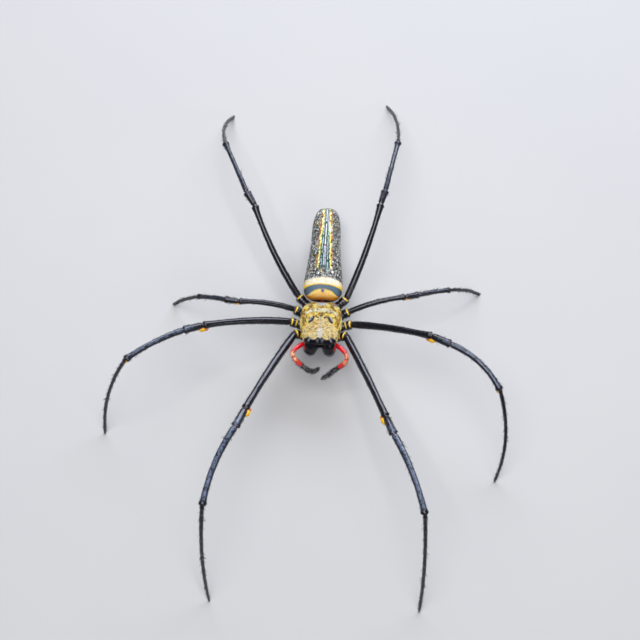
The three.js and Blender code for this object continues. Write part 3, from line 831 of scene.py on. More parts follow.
def leg_look():
    look = Look("leg_cuticle", IOR=1.48, Coat_Weight=0.45, Coat_Roughness=0.08,
                Specular_Tint=(0.85, 0.86, 1.0))
    joint, rim, foot = look.field("marks", "Vector").split()
    cloud, grain = look.place.noise(0.9, 3), look.place.noise(7, 3)
    cells = look.node("TexVoronoi", {"Vector": look.place, "Scale": 1.1}, "Distance", feature="F1")
    colour = layers(
        BLACK,
        (SOOT, cloud.rise(0.5, 0.68) * grain.rise(0.42, 0.6) * 0.8),
        # Painted highlight: steel blue on the top of the patella and tibia, standing in for a bluish sheen of
        # light.
        (STEEL_SHEEN, look.field("shin") * look.place.noise(1.6, 3).rise(0.3, 0.6) * 0.9),
        ((0.34, 0.4, 0.46), cells.rise(0.17, 0.1) * foot * 0.8),
        # Painted highlight: pale blue on the joint knobs, standing in for glints.
        ((0.16, 0.2, 0.28), look.field("knob").rise(0.5, 0.95) * 0.7),
        (SOOT, rim.rise(0.1, 0.5)),
        (BROWN, joint),
        (YELLOW, (rim + grain.sway(1.1)).rise(0.5, 0.62)),
    )
    look.bump(grain * 0.6 + look.place.noise(16, 1) * 0.4, 0.02, 0.35)
    return look.finish(colour, 0.2 + cloud * 0.08 - foot * 0.05 + grain * 0.06)


def polish_look(name, base, patches=None, roughness=0.1, index=1.48, coat=0.3):
    """Polished dark cuticle, with patches of another colour where the marks say."""
    look = Look(name, IOR=index, Coat_Weight=coat, Coat_Roughness=0.05, Specular_Tint=(0.85, 0.88, 1.0))
    grain = look.place.noise(5, 3)
    colour = mix(base, tuple(3 * c for c in base), grain.rise(0.48, 0.7))
    if patches is not None:
        colour = patches(*look.place.split(), grain, colour)
    look.bump(look.place.noise(11), 0.02, 0.4)
    return look.finish(colour, roughness + grain * 0.1)


def sternum_patches(x, y, z, grain, colour):
    edge = grain.sway(0.5)
    front = (abs(x) + (y + 2.0) * 0.5 + edge).line(1.5, 0.35, 0.1) * y.rise(-0.3, -0.7)
    middle = distance(x, y - 2.4) + edge
    return layers(colour, (YELLOW, front * 0.9), (ORANGE, middle.rise(0.75, 0.6)))


def jaw_patches(x, y, z, grain, colour):
    away = distance((y + 5.8) * 0.8, z - 0.2) + grain.sway(0.3)
    return mix(colour, (0.8, 0.02, 0.02), abs(x).rise(2.75, 3.05) * away.rise(0.85, 0.65))


def horn_painted_glint(x, y, z, grain, colour):
    """A painted highlight: the outer slope of each horn is painted pale, standing in for a glint, and the
    inner one is left dark.
    """
    _, off = horn_axes(abs(x), y)
    return mix(colour, (0.36, 0.42, 0.52), (off + grain.sway(0.4)).rise(0.0, 0.16))


def gold_colours(place):
    """Colour and bareness of the carapace: gold down, tan over the head, bare black marks."""
    x, y, z = place.split()
    wide = abs(x)
    square = wide * wide
    cloud, grain = place.noise(0.8), place.noise(2.6)
    curl = place.noise(1.25, 2, 0.5, 0.9)
    blot = place.noise(1.9, 2, 0.6, 0.5)
    edge = grain.sway(0.35)

    # The back: bright streaks along the margin and a pale band across
    out = distance(wide / 5.1, (y - 1.4) / 5.6)
    turned = {0: (y - 1.4).angle(wide) * 2.2, 1: out * 10, 2: cloud}
    rings = place.look.node("CombineXYZ", turned).noise(1.0, 1, 0.5, 0.5)
    light = rings.rise(0.51, 0.55).most(grain.rise(0.55, 0.6) * 0.8)
    dark = (rings.rise(0.46, 0.43) * 0.9).most(curl.rise(0.42, 0.38))
    band = (y + square * square * 0.005 + edge).line(3.5, 0.4, 0.25) * wide.rise(4.2, 3.6)
    corner = distance(wide - 3.2, y - 5.4).rise(1.0, 0.5) * grain.rise(0.44, 0.54)
    back_colour = layers(
        GOLD,
        ((0.95, 0.4, 0.01), cloud.rise(0.5, 0.62) * 0.5),
        (PALE_GOLD, light),
        (UMBER, dark * 0.95),
        ((1.0, 0.98, 0.8), band * (curl + grain).rise(0.92, 1.04)),
        ((0.4, 0.33, 0.4), corner * 0.8),
    )

    # The head: tan with dark and pale flecks, a pale edge behind and a white streak
    behind = y + wide * 1.15 - 2.4 + cloud.sway(0.9)
    veins = abs(curl - 0.5).rise(0.07, 0.03)
    blaze = distance(wide / 0.85, (y + 4.1) / 1.6).rise(1.2, 0.6) * grain.rise(0.36, 0.46)
    streak = wide.rise(0.5, 0.15) * y.rise(1.2, 0.3) * grain.rise(0.4, 0.55)
    head_colour = layers(
        TAN,
        ((0.95, 0.5, 0.08), cloud.rise(0.5, 0.6) * 0.8),
        ((1.0, 0.92, 0.5), veins.most(blot.rise(0.52, 0.56))),
        ((0.2, 0.08, 0.02), blot.rise(0.455, 0.415) * (1 - veins * 0.5) * 0.95),
        (LILAC, streak * 0.6),
        ((1.0, 0.8, 0.4), behind.line(-0.2, 0.12, 0.15) * 0.9),
        ((1.0, 0.98, 0.95), blaze),
    )
    rear = (wide + edge).rise(1.4, 1.0) * y.rise(4.8, 5.15) * y.rise(5.95, 5.75)
    colour = layers(back_colour, (head_colour, behind.rise(0.15, -0.15)), ((0.66, 0.66, 0.82), rear))
    return colour, bare_marks(wide, y, z, edge)


def bare_marks(wide, y, z, edge):
    """Where the carapace is bare black: pit, horns, eye field, face and rear edge."""
    along, off = horn_axes(wide, y)
    horn = distance(along / HORN_BARE[0], off / HORN_BARE[1]) + edge * 0.5
    face = y + wide.line(1.5, 0.35, 0.6) * 0.35 - wide.rise(2.2, 3.6) * 0.35 + edge
    marks = (distance(wide * 0.75, y - PIT["y"]) + edge).rise(0.4, 0.25)
    for place_x, place_y, radius in BARE_SPOTS:
        marks = marks.most((distance(wide - place_x, y - place_y) + edge).rise(radius, radius - 0.15))
    marks = marks.most(horn.rise(1.1, 0.95)).most(face.rise(-5.4, -5.6))
    return marks.most(z.rise(1.35, 0.9)).most((y - wide * 0.15 + edge).rise(5.9, 6.15))


def eye_painted_glints(place):
    """Black cuticle with a painted highlight: a pale arc behind each of the rear eyes, standing in for glints
    on the eye tubercles.
    """
    x, y, z = place.split()
    wide = abs(x)
    middle = distance(wide - 0.4, y + 5.75).line(0.5, 0.12, 0.08) * y.rise(-5.85, -5.6)
    side = distance(wide - 2.85, y + 5.5).line(0.46, 0.12, 0.08) * wide.rise(3.0, 2.7)
    return layers((0.008, 0.009, 0.016), ((0.55, 0.5, 0.62), middle), ((0.3, 0.3, 0.38), side))


def gold_look(name, coat):
    look = Look(name, Sheen_Weight=0.12, Sheen_Roughness=0.3, Sheen_Tint=(1.0, 0.9, 0.6),
                Specular_IOR_Level=0.15)
    colour, bare = gold_colours(look.place)
    fine = look.place.noise(14)
    if coat:
        shade = look.field("shade")
        dark, pale = shade.rise(0.12, 0.0) * 0.5, shade.rise(0.68, 0.95) * 0.6
        colour = layers(colour, (UMBER, dark), ((1.0, 0.93, 0.55), pale), ((0.04, 0.035, 0.04), bare))
        return look.finish(colour, 0.34 + fine * 0.2)
    colour = mix(DARK_BROWN, colour, 0.75 + fine.sway(0.8))
    look.bump(fine * (1 - bare), 0.06, 0.9)
    # The bare marks take black cuticle with painted glint arcs behind the rear eyes.
    return look.finish(mix(colour, eye_painted_glints(look.place), bare), 0.62 - bare * 0.52)


def abdomen_colours(place):
    """The abdomen's markings, from places in the trunk's frame."""
    x, y, z = place.split()
    wide = abs(x)
    square = wide * wide
    cloud, grain = place.noise(0.55), place.noise(4.4)
    curl = place.noise(1.15, 2, 0.5, 1.2)
    curl_fine = place.noise(2.1, 1, 0.5, 0.7)
    beads = place.stretch(0.5, 1, 0.5).noise(1.5, 1)
    flecks = place.stretch(1, 0.7, 1).noise(2.4, 2, 0.5, 0.8)
    jitter = place.stretch(1, 0.6, 1).noise(1.1).sway(0.5)

    # Pale curls over the back and sides
    breaks = place.noise(1.9, 1).rise(0.4, 0.52)
    veins = (abs(curl - 0.5).rise(0.045, 0.02) * breaks * 0.8).most(flecks.rise(0.53, 0.6))
    tint = layers(
        (0.26, 0.3, 0.3),
        ((0.5, 0.4, 0.1), cloud.rise(0.52, 0.6)),
        (SILVER, curl_fine.rise(0.48, 0.58)),
        (WHITE, flecks.rise(0.62, 0.68)),
    )
    net = layers(
        (0.009, 0.01, 0.007),
        ((0.01, 0.014, 0.022), cloud.rise(0.4, 0.6)),
        (RUST, curl_fine.rise(0.6, 0.66) * grain.rise(0.45, 0.55) * 0.7),
        (tint, veins),
    )

    # Lengthwise lines, drawing together towards the tail
    wobbling = wide + jitter
    line_at = (1.6 - (y - 14) * 0.045).most(0.85)
    back = y.rise(13.8, 15.0) * y.rise(34.3, 33.4) * z.rise(0.6, 1.4)
    middle_zone = back * (line_at - wobbling).rise(0.0, 0.15)
    centre = abs(wide - y.rise(22.5, 20.5) * 0.17 + jitter * 0.15).rise(0.17, 0.08)
    thin = abs(wobbling - line_at * 0.52).rise(0.13, 0.07) * middle_zone
    yellow = abs(wobbling - line_at + beads.sway(0.3)).rise(0.27, 0.19) * flecks.rise(0.38, 0.44)
    green = abs(wobbling - line_at + 0.27).rise(0.12, 0.05)
    rust = abs(wobbling - line_at - 0.5).rise(0.2, 0.1) * beads.rise(0.56, 0.48)
    lined = layers(
        net,
        (mix((0.004, 0.012, 0.014), TEAL, flecks.rise(0.46, 0.54)), middle_zone),
        (mix(LILAC, (0.5, 0.7, 0.6), cloud.rise(0.45, 0.55)), thin * flecks.rise(0.4, 0.5)),
        (GREEN, green * back),
        ((0.55, 0.2, 0.03), rust * back * 0.85),
        (mix((0.85, 0.68, 0.03), (0.98, 0.97, 0.62), flecks.rise(0.5, 0.56)), yellow * back),
        (mix(LILAC, WHITE, y.rise(20, 22)), centre * back * y.rise(14.8, 15.8) * flecks.rise(0.36, 0.46)),
    )

    # Bands across the front
    ragged = y + grain.sway(0.9) + flecks.sway(2.2)
    above = z.rise(-0.9, 0.2)
    bowed = y + square * 0.02
    band = bowed.rise(9.95, 10.05) * (ragged + square * 0.02).rise(12.0, 11.5)
    edge = bowed.line(9.95, 0.12 + wide.rise(2.6, 4.8) * 0.4, 0.1)
    slate = layers(
        SLATE,
        ((0.22, 0.31, 0.38), place.noise(13).rise(0.42, 0.62) * 0.6),
        (OLIVE, wide.rise(3.4, 4.9) * 0.7),
    )
    cream = layers(
        CREAM,
        (WHITE, curl.rise(0.45, 0.6)),
        ((0.75, 0.5, 0.3), grain.rise(0.6, 0.7) * 0.6),
        (YELLOW, wide.rise(3.9, 4.9) * 0.8),
    )
    front = layers(
        lined,
        (cream, band * above),
        (mix((0.7, 0.42, 0.02), YELLOW, wide.rise(1.0, 3.5)), edge * above),
        (slate, bowed.rise(9.9, 9.8) * z.rise(-0.6, 0.4)),
        ((0.012, 0.006, 0.006), (z + square * 0.06).rise(0.8, 0.5) * y.rise(9.3, 8.8)),
    )
    front = front_crescent(front, wide, y, z, grain)
    return underside(front, wide, y, z, grain, cloud), veins


def front_crescent(ground, wide, y, z, grain):
    """The orange and yellow crescent that faces the carapace."""
    square = wide * wide
    wave = grain.sway(0.4)
    low = (z + square * 0.06 + wave * 0.6).rise(0.8, 0.95)
    top = z + square * 0.065 + square * square * 0.0035 + wave
    shape = low * top.rise(3.4, 3.25) * (y + wave).rise(8.95, 8.8) * wide.rise(4.75, 4.5)
    rim = top.rise(2.75, 3.1) * wide.rise(4.2, 3.0)
    pale = z.line(2.3, 0.3, 0.5) * wide.rise(3.0, 1.4) * grain.rise(0.4, 0.6) * 0.5
    return layers(
        ground,
        (mix(AMBER, ORANGE, (z + square * 0.06).rise(1.9, 1.1).most(wide.rise(2.4, 4.0))), shape),
        (CREAM, shape * pale),
        (mix(YELLOW, CREAM, grain.rise(0.45, 0.6)), rim * shape),
        ((0.16, 0.12, 0.2), distance(wide, (z - 3.25) * 1.3).rise(0.5, 0.35) * shape),
    )


def underside(upper, wide, y, z, grain, cloud):
    """Dark belly with rows of yellow spots, a yellow bar and pale stripes along its sides."""
    belly = z.rise(-1.2, -2.0) * y.rise(8.6, 9.4)
    beat = ((y - 15.5) / 3.1).fraction() - 0.5
    spots = distance((wide - 1.5) * 1.7, beat * 3.4) + grain.sway(0.5)
    spots = spots.rise(0.75, 0.55) * y.rise(14.5, 15.0) * y.rise(28.8, 28.0)
    wave = cloud.sway(1.2) + grain.sway(0.4)
    bar = (y + wide * wide * 0.05 + wave).line(13.6, 0.28, 0.15) * (wide + wave).rise(2.9, 2.5)
    stripe = (wide + cloud.sway(1.2)).line(2.85, 0.2, 0.1) * y.rise(14, 15) * y.rise(29, 28)
    lungs = (distance((wide - 2.0) / 0.95, (y - 11.2) / 1.25) + wave * 0.5).rise(1.15, 0.75)
    under = layers(
        (0.02, 0.011, 0.007),
        ((0.055, 0.034, 0.02), grain.rise(0.45, 0.65)),
        ((0.16, 0.07, 0.025), lungs * 0.8),
        (YELLOW, (spots + bar).least(1.0) * 0.85),
        (CREAM, stripe * 0.6),
        ((0.016, 0.005, 0.003), distance(wide, (y - 12.6) * 1.4).rise(1.0, 0.8)),
    )
    return mix(upper, under, belly)


def abdomen_look(name, coat):
    look = Look(name, Specular_IOR_Level=0.35)
    colour, veins = abdomen_colours(look.place)
    if coat:
        shade = look.field("shade")
        colour = mix(colour, (0.35, 0.36, 0.34), shade.rise(0.5, 1.0) * 0.5)
        return look.finish(colour, 0.45 + shade * 0.1)
    look.bump(veins * 0.5 + look.place.noise(9, 3) * 0.7, 0.05, 0.7)
    return look.finish(colour, 0.38 + look.place.noise(3) * 0.15)


def palp_look():
    look = Look("feeler_red", Specular_IOR_Level=0.3, Coat_Weight=1.0, Coat_Roughness=0.06)
    joint, black, warm_and_highlight = look.field("marks", "Vector").split()
    grain = look.place.noise(5, 3)
    dark = (black + grain.sway(0.5)).rise(0.4, 0.6)
    colour = layers(
        RED,
        # Orange on the patella and the tibia's start: partly their own colour, partly a painted highlight,
        # stronger on the upper side.
        ((0.9, 0.25, 0.02), warm_and_highlight * grain.rise(0.42, 0.6)),
        # Painted highlight: pale patches on the upper side of the patella and tibia, standing in for glints.
        ((1.0, 0.72, 0.45), look.field("pale") * look.place.noise(2.4).rise(0.42, 0.54) * 0.85),
        ((0.3, 0.008, 0.006), joint * 0.8),
        (BLACK, dark),
        ((0.2, 0.21, 0.24), dark * look.place.noise(2.2).rise(0.52, 0.6) * 0.8),
    )
    look.bump(look.place.noise(12), 0.03, 0.6)
    return look.finish(colour, 0.26 + grain * 0.15)


def pad_look():
    look = Look("knee_pad", Coat_Weight=0.3, Coat_Roughness=0.2, Subsurface_Weight=0.15,
                Subsurface_Scale=0.0004)
    grain = look.place.noise(6, 3)
    orange = (look.field("ring") + grain.sway(0.7)).rise(0.35, 0.75)
    colour = layers((1.0, 0.54, 0.008), (ORANGE, orange), ((1.0, 0.78, 0.4), grain.rise(0.6, 0.72) * 0.5))
    look.bump(look.place.noise(14), 0.03, 0.6)
    return look.finish(colour, 0.36 + grain * 0.15)


def eye_look():
    look = Look("eye_lens", Coat_Weight=1.0, Coat_Roughness=0.02, IOR=1.5)
    rim = look.field("rim")
    depth = look.place.noise(6).rise(0.5, 0.7)
    # The pale rim round each lens is a painted highlight, standing in for glints round the eyes.
    colour = layers((0.004, 0.004, 0.007), ((0.03, 0.012, 0.008), depth), ((0.2, 0.2, 0.25), rim))
    return look.finish(colour, 0.05 + rim * 0.3)


def hair_look(name, root, tip):
    """Bristles, from the colour at their roots to the one at their tips."""
    look = Look(name)
    colour = mix(root, tip, look.field("tip").rise(0.0, 0.5))
    colour = mix(colour, tuple(2.2 * c for c in tip), look.field("shade").rise(0.6, 1.0) * 0.7)
    return look.finish(colour, 0.35 + look.place.noise(2, 1) * 0.15)


# Legs


def leg_joints(leg, side, headings, pitches):
    """The joints of one leg, from the root of the hip to the toe, which lies on the floor."""
    joints = list(from_trunk([[side * x, y, z] for (x, y), z in zip(LEGS[leg]["hip"], HIP_LEVELS)]))
    for i, length in enumerate(LEGS[leg]["lengths"]):
        start = joints[-1]
        pitch = math.radians(pitches[i]) if i < len(pitches) else -math.asin(start[2] / length)
        heading = math.radians(headings[i])
        way = [math.cos(heading) * math.cos(pitch), math.sin(heading) * math.cos(pitch), math.sin(pitch)]
        joints.append(start + np.array(way) * length)
    return joints


def bow_point(start, end, side, up):
    """The middle handle of a curve that bows by `side` to the left and `up`."""
    along = unit(end - start)
    left = unit(np.cross(UP, along))
    return (start + end) / 2 + left * side * 2 + np.cross(along, left) * up * 2


def hip_rims(leg, before_femur):
    """The yellow rims on the last edges of coxa and trochanter; hind legs have only the last."""
    last = bump_at(before_femur, 0.26, 0.24)
    return last if leg > 2 else last + bump_at(before_femur, 1.45, 0.24)


def vectors(*fields):
    """Fields of numbers joined as the x, y and z of one field."""
    return np.stack(np.broadcast_arrays(*fields), -1)


def leg_skin(leg, side, headings, pitches, bows):
    """One skin from hip to toe, with the marks that its material reads."""
    joints = leg_joints(leg, side, headings, pitches)
    radii = [HIP_RADII, *LEGS[leg]["radii"]]
    bows = [0, *bows]
    pieces = []
    for k, name in enumerate(SEGMENTS):
        start, end = joints[k], joints[k + 1]
        span = np.linalg.norm(end - start)
        u = np.linspace(0, 1, max(20, int(span / RING_SPACE)))
        t = 0.6 * u + 0.4 * (0.5 - 0.5 * np.cos(math.pi * u))
        t = t if k == 0 else t[1:]
        left = (1 - t) * span
        knobbed = name in KNOBBED
        flare = 1 + FLARE[leg] * bump_at(left, 0.5, 1.6) * knobbed
        radius = (radii[k][0] + (radii[k][1] - radii[k][0]) * t) * eased(GIRTH[name], t) * flare
        near = np.minimum(t * span, np.abs(t - FOOT_JOINT) * span if name == "foot" else left)
        rim = hip_rims(leg, left) * (name == "hip")
        knob = bump_at(left, 0.5, 0.3) * knobbed
        place = bezier(start, bow_point(start, end, bows[k], UP_BOW[k]), end, t)
        pieces.append(np.column_stack([place, radius, k + t * 0.999, near, rim, knob]))
    table = np.vstack(pieces)
    line, radius = table[:, :3], table[:, 3]
    segment, near, rim, knob = (table[:, [k]] for k in range(4, 8))
    rings, tips, dorsal = swept(line, radius, LEG_AROUND)
    # This mask shapes the knobs and places their painted glints.
    knob = knob * smooth_step(np.abs(dorsal), 0.75, 0.25)
    rings = swollen(rings, line, ripple(rings, "leg") + knob * KNOB_HEIGHT)
    rings[..., 2] = np.maximum(rings[..., 2], TOE_CLEARANCE)
    tips[1][2] = max(tips[1][2], 2 * TOE_CLEARANCE)
    rim = rim * smooth_step(dorsal, 0.35, 0.75)
    marks = vectors(bump_at(near, 0, 0.1), rim, smooth_step(segment, 3.9, 4.1))
    # Where the painted blue sheen lies: the upper side of the shins, strongest on the front legs.
    shin = smooth_step(segment, 2.1, 3.1) * smooth_step(segment, 3.98, 3.9) * SHIN_SHEEN_SHARE[leg]
    shin = shin * smooth_step(dorsal, 0.62, 0.95)
    skin = Skin(rings, tips, place=rings, marks=marks, knob=knob, shin=shin)
    skin.segment, skin.dorsal = segment, dorsal
    return skin, joints


def setae(skin, rng):
    """Short bristles of a leg, denser and finer towards the toe, and a few long spines."""
    segment = skin.segment
    foot = smooth_step(segment, 3.9, 4.1)
    furry = (0.25 + 0.35 * smooth_step(segment, 2, 3) + 0.9 * foot) * (segment > 0.6) * (segment < TOE_END)
    spiny = (segment > 2.1) * (segment < 4.7) * (0.3 + foot)
    under = (segment > 4.74) * (segment < TOE_END) * (skin.dorsal < 0.2)
    fine = skin.hairs(rng, "leg", furry)
    from_hip = np.linalg.norm(fine["place"] - skin.rings[0].mean(0), axis=-1)
    fine["length"] = fine["length"] - LEG_HAIR_THINNING * smooth_step(from_hip, 5, 60)
    spines = skin.hairs(rng, "spines", spiny)
    soles = skin.hairs(rng, "soles", under)
    for hairs in (fine, spines, soles):
        # None of them reaches through the floor
        lean = hairs["lean"]
        down = -hairs["normal"][:, 2] * math.sin(lean) - hairs["along"][:, 2] * math.cos(lean)
        most = (hairs["point"][:, 2] - TOE_CLEARANCE) / np.maximum(np.maximum(down, 0) * 1.3, 1e-3)
        hairs["length"] = np.clip(hairs["length"], 0.02, np.maximum(most, 0.02))
    return [fine, spines, soles]


def claws(joints, toe):
    """Two curved claws and a small middle one at the end of a foot."""
    ahead = unit((joints[5] - joints[4]) * [1, 1, 0])
    left = np.cross(UP, ahead)
    t = np.linspace(0, 1, 14)
    made = []
    for spread, size in zip(CLAWS["spread"], CLAWS["size"]):
        start = toe + UP * CLAWS["lift"] + left * spread * 0.18 - ahead * 0.12
        middle = start + (ahead * 0.42 + left * spread * 0.25 + UP * 0.12) * size
        end = start + (ahead * 0.55 + left * spread * 0.4) * size
        end[2] = TOE_CLEARANCE
        radius = CLAWS["radius"] * size * (1 - t * 0.85)
        rings, tips, _ = swept(bezier(start, middle, end, t), radius, 10)
        rings[..., 2] = np.maximum(rings[..., 2], TOE_CLEARANCE / 2)
        made.append(Skin(rings, tips, place=rings))
    return made


def pad_skin(joints, k, side, size, before, after, front=0.85):
    """A soft swelling under the front of a joint, from `before` it to `after` it."""
    incoming, outgoing = unit(joints[k] - joints[k - 1]), unit(joints[k + 1] - joints[k])
    out = unit(np.cross(unit(incoming + outgoing), UP)) * side
    away = out * front * size - UP * 0.45 * size
    start = joints[k] - incoming * before + away * 0.9
    end = joints[k] + outgoing * after + away * 0.85
    t = np.linspace(0, 1, 60)
    line = bezier(start, joints[k] + away * 1.12, end, t)
    rings, tips, _ = swept(line, eased(PAD_LOBES, t) * PAD_RADIUS * size, 40, reach=0.8)
    edge = 1 - np.sum(unit(rings - line[:, None]) * unit(away), -1)
    femur_side = 1 - smooth_step(t, 0.22, 0.5) + 0.35 * smooth_step(t, 0.86, 1.0)
    rings = swollen(rings, line, ripple(rings, "pad"))
    return Skin(rings, tips, place=rings, ring=np.clip(0.35 * edge + femur_side[:, None], 0, 1))


def build_legs():
    rng = np.random.default_rng(11)
    cuticle = leg_look()
    bristle = hair_look("leg_bristles", (0.05, 0.045, 0.05), (0.009, 0.009, 0.012))
    pads, toes = [], []
    for name, (leg, side, headings, pitches, bows) in POSES.items():
        skin, joints = leg_skin(leg, side, headings, pitches, bows)
        show(f"{name}_skin", [skin], cuticle, "leg_cuticle", [f"{name}_{segment}" for segment in SEGMENTS])
        bristles(f"{name}_bristles", setae(skin, rng), bristle, "leg_cuticle", rng)
        toes += claws(joints, skin.ends[1])
        size = LEGS[leg]["pad"]
        if size > 0:
            before, after = PAD_REACH[leg]
            pads.append(pad_skin(joints, 2, side, size, before * size, after * size))
        if leg == 2:
            pads.append(pad_skin(joints, 4, side, 0.42, 0.3, 0.5, front=1.1))
    show("knee_pads", pads, pad_look(), "leg_cuticle")
    show("claws", toes, polish_look("claw", (0.02, 0.01, 0.008)), "leg_cuticle")


# Front body


def carapace_relief(points):
    x, y = np.abs(points[..., 0]), points[..., 1]
    from_pit = y - PIT["y"]
    away = np.hypot(x, from_pit)
    pit = -PIT["depth"] * bump_at(away, 0, PIT["radius"])
    groove_end = np.array([GROOVE["out_x"], GROOVE["out_y"] - PIT["y"]])
    line = unit(groove_end)
    along = np.clip((x * line[0] + from_pit * line[1]) / np.linalg.norm(groove_end), 0, 1)
    across = x * line[1] - from_pit * line[0]
    groove = -GROOVE["depth"] * np.sin(math.pi * along) * bump_at(across, 0, GROOVE["width"])
    long, short = horn_axes(x, y)
    horn = HORN["height"] * bump_at(long, 0, HORN["length"]) * bump_at(short, 0, HORN["width"])
    spokes = -SPOKES["depth"] * np.cos(SPOKES["count"] * np.arctan2(from_pit, x + 1e-6))
    spokes *= smooth_step(away, 0.9, 2.2) * smooth_step(y, -0.6, 0.6)
    size = BROWS["radius"]
    brows = sum(bump_at(x, at_x, size) * bump_at(y, at_y, size) for at_x, at_y in BROWS["places"])
    notch = -NOTCH["depth"] * bump_at(x, 0, NOTCH["width"]) * smooth_step(y, NOTCH["start"], NOTCH["end"])
    return pit + groove + horn + spokes + BROWS["height"] * brows + notch + ripple(points, "carapace")


def build_carapace():
    skin = trunk_skin(*body_form(CARAPACE, [5, 6], 2.3, 230, 260, carapace_relief))
    show("carapace_skin", [skin], gold_look("carapace_skin", False), "carapace_down", ["carapace"])
    core = trunk_skin(*body_form(CORE, [4, 7], 3, 60, 70))
    dark = polish_look("underside", (0.012, 0.009, 0.008), roughness=0.4)
    show("front_body_underside", [core], dark, "black_cuticle")
    domes = [horn_dome(skin.fields["place"], side) for side in SIDES.values()]
    # The horns' outer slopes carry a painted highlight.
    show("horns", domes, polish_look("horns", (0.012, 0.014, 0.03), horn_painted_glint, coat=1.0), "black_cuticle")
    return skin


def horn_dome(surface, side):
    """The bare glossy crest of one horn, set into the carapace."""
    t = np.linspace(-1, 1, 40)
    x = HORN["x"] + t * HORN_DOME["half"] * math.cos(HORN["turn"])
    y = HORN["y"] - t * HORN_DOME["half"] * math.sin(HORN["turn"])
    top = surface[surface[..., 2] >= 1]
    near = np.hypot(top[:, :1] - x, top[:, 1:2] - y).argmin(0)
    z = top[near, 2].max() - HORN_DOME["sunk"] - HORN_DOME["drop"] * t**2
    return trunk_limb(np.stack([side * x, y, z], -1), [HORN_DOME["radius"]] * 2, HORN_DOME_GIRTH, 36)


def gold_down(skin):
    """Flat golden hairs lying forwards over the carapace, none on its bare marks."""
    rng = np.random.default_rng(7)
    place = skin.fields["place"]
    x, y, z = np.abs(place[..., 0]), place[..., 1], place[..., 2]
    long, short = horn_axes(x, y)
    furry = smooth_step(np.hypot(long / HORN_BARE[0], short / HORN_BARE[1]), 1.0, 1.2)
    furry *= smooth_step(np.hypot(x, y - PIT["y"]), 0.3, 0.5) * (y - 0.15 * x < 6.0)
    furry *= smooth_step(y + (bump_at(x, 1.5, 0.7) - smooth_step(x, 2.2, 3.6)) * 0.35, -5.55, -5.35)
    for place_x, place_y, radius in BARE_SPOTS:
        furry *= smooth_step(np.hypot(x - place_x, y - place_y), radius, radius + 0.15)
    patchy = 0.55 + 0.45 * smooth_step(ripple(place, "down"), -0.4, 0.3)
    flat = skin.hairs(rng, "down", furry * smooth_step(z, 1.0, 1.5) * patchy)
    inward = -np.sign(flat["place"][:, :1]) * [0.5, 0, 0] - [0, 1, 0]
    flat["along"] = unit(inward + rng.normal(0, 0.35, inward.shape) * [1, 1, 0])
    upright = skin.hairs(rng, "upright", furry * smooth_step(z, 1.2, 1.8))
    upright["along"] = np.array([0.0, -1.0, 0.0])
    bristles("carapace_down", [flat, upright], gold_look("carapace_down", True), "carapace_down", rng)


def build_eyes():
    look = eye_look()
    lens = [[math.cos(a), math.sin(a)] for a in np.linspace(0.14, math.pi / 2 - 0.02, 18)]
    out, along = np.array(EYE_RIM + lens).T[..., None, None]
    # The rim's points carry the eye lens's painted highlight.
    rim = np.repeat([[1.0]] * len(EYE_RIM) + [[0.0]] * len(lens), 40, 1)
    cos, sin = circle(40)
    for name, (place, radius, gaze) in EYES.items():
        for hand, side in SIDES.items():
            centre = np.array(place) * [side, 1, 1]
            axis = unit(np.array(gaze) * [side, -1, 1])
            right = unit(np.cross(axis, UP))
            across = right * cos[:, None] + np.cross(right, axis) * sin[:, None]
            rings = centre + radius * (across * out + axis * along)
            skin = trunk_skin(rings, [centre - axis * radius * 0.4, centre + axis * radius], rim=rim)
            show(f"eye_{name}_{hand}_lens", [skin], look, "eye_lens", [f"eye_{name}_{hand}"])


def build_jaws():
    rng = np.random.default_rng(17)
    jaw_look = polish_look("chelicera", BLACK, jaw_patches, index=1.3, coat=0.1)
    fang_look = polish_look("fang", (0.02, 0.008, 0.006))
    groups = []
    for hand, side in SIDES.items():
        jaw = trunk_limb(bent(JAW_LINE, 90, side), JAW_RADII, JAW_GIRTH, 72, "jaw")
        show(f"chelicera_{hand}_skin", [jaw], jaw_look, "black_cuticle", [f"chelicera_{hand}"])
        fang = trunk_limb(bent(FANG_LINE, 50, side), FANG_RADII, FANG_GIRTH, 32, "fang")
        show(f"fang_{hand}_skin", [fang], fang_look, "black_cuticle", [f"fang_{hand}"])
        fringe = smooth_step(jaw.t, 0.74, 0.86) * smooth_step(0.97 - jaw.t, 0, 0.05)
        groups.append(jaw.hairs(rng, "jaw", smooth_step(jaw.t, 0.3, 0.5)))
        groups.append(jaw.hairs(rng, "jaw_fringe", fringe))
    bristle = hair_look("jaw_bristles", BLACK, (0.03, 0.02, 0.018))
    bristles("chelicera_bristles", groups, bristle, "black_cuticle", rng)


def build_palps():
    rng = np.random.default_rng(23)
    look = palp_look()
    bristle = hair_look("feeler_bristles", (0.14, 0.1, 0.1), (0.04, 0.038, 0.045))
    for name, joints in PALP_JOINTS.items():
        palp = trunk_limb(smooth_line(joints, 170), [PALP_RADIUS] * 2, PALP_GIRTH, 40)
        t = palp.t
        joint = sum(bump_at(t, node, 0.008) for node in PALP_NODES)
        # An orange tint with a painted highlight on its upper side, and pale painted highlights on the upper
        # side of patella and tibia.
        warm_and_highlight = bump_at(t, 0.45, 0.1) * (0.4 + 0.6 * smooth_step(palp.dorsal, -0.2, 0.8))
        pale = (bump_at(t, 0.39, 0.035) + bump_at(t, 0.475, 0.03)) * smooth_step(palp.dorsal, -0.3, 0.5)
        palp.fields.update(marks=vectors(joint, smooth_step(t, 0.58, 0.64), warm_and_highlight), pale=pale)
        show(f"{name}_skin", [palp], look, "feeler_red", [name])
        furry = (t > 0.08) * (t < 0.97) * (0.15 + smooth_step(t, 0.45, 0.7))
        fine = palp.hairs(rng, "feeler", furry)
        long = palp.hairs(rng, "feeler_long", (t > 0.45) * (t < 0.92))
        bristles(f"{name}_bristles", [fine, long], bristle, "feeler_red", rng)


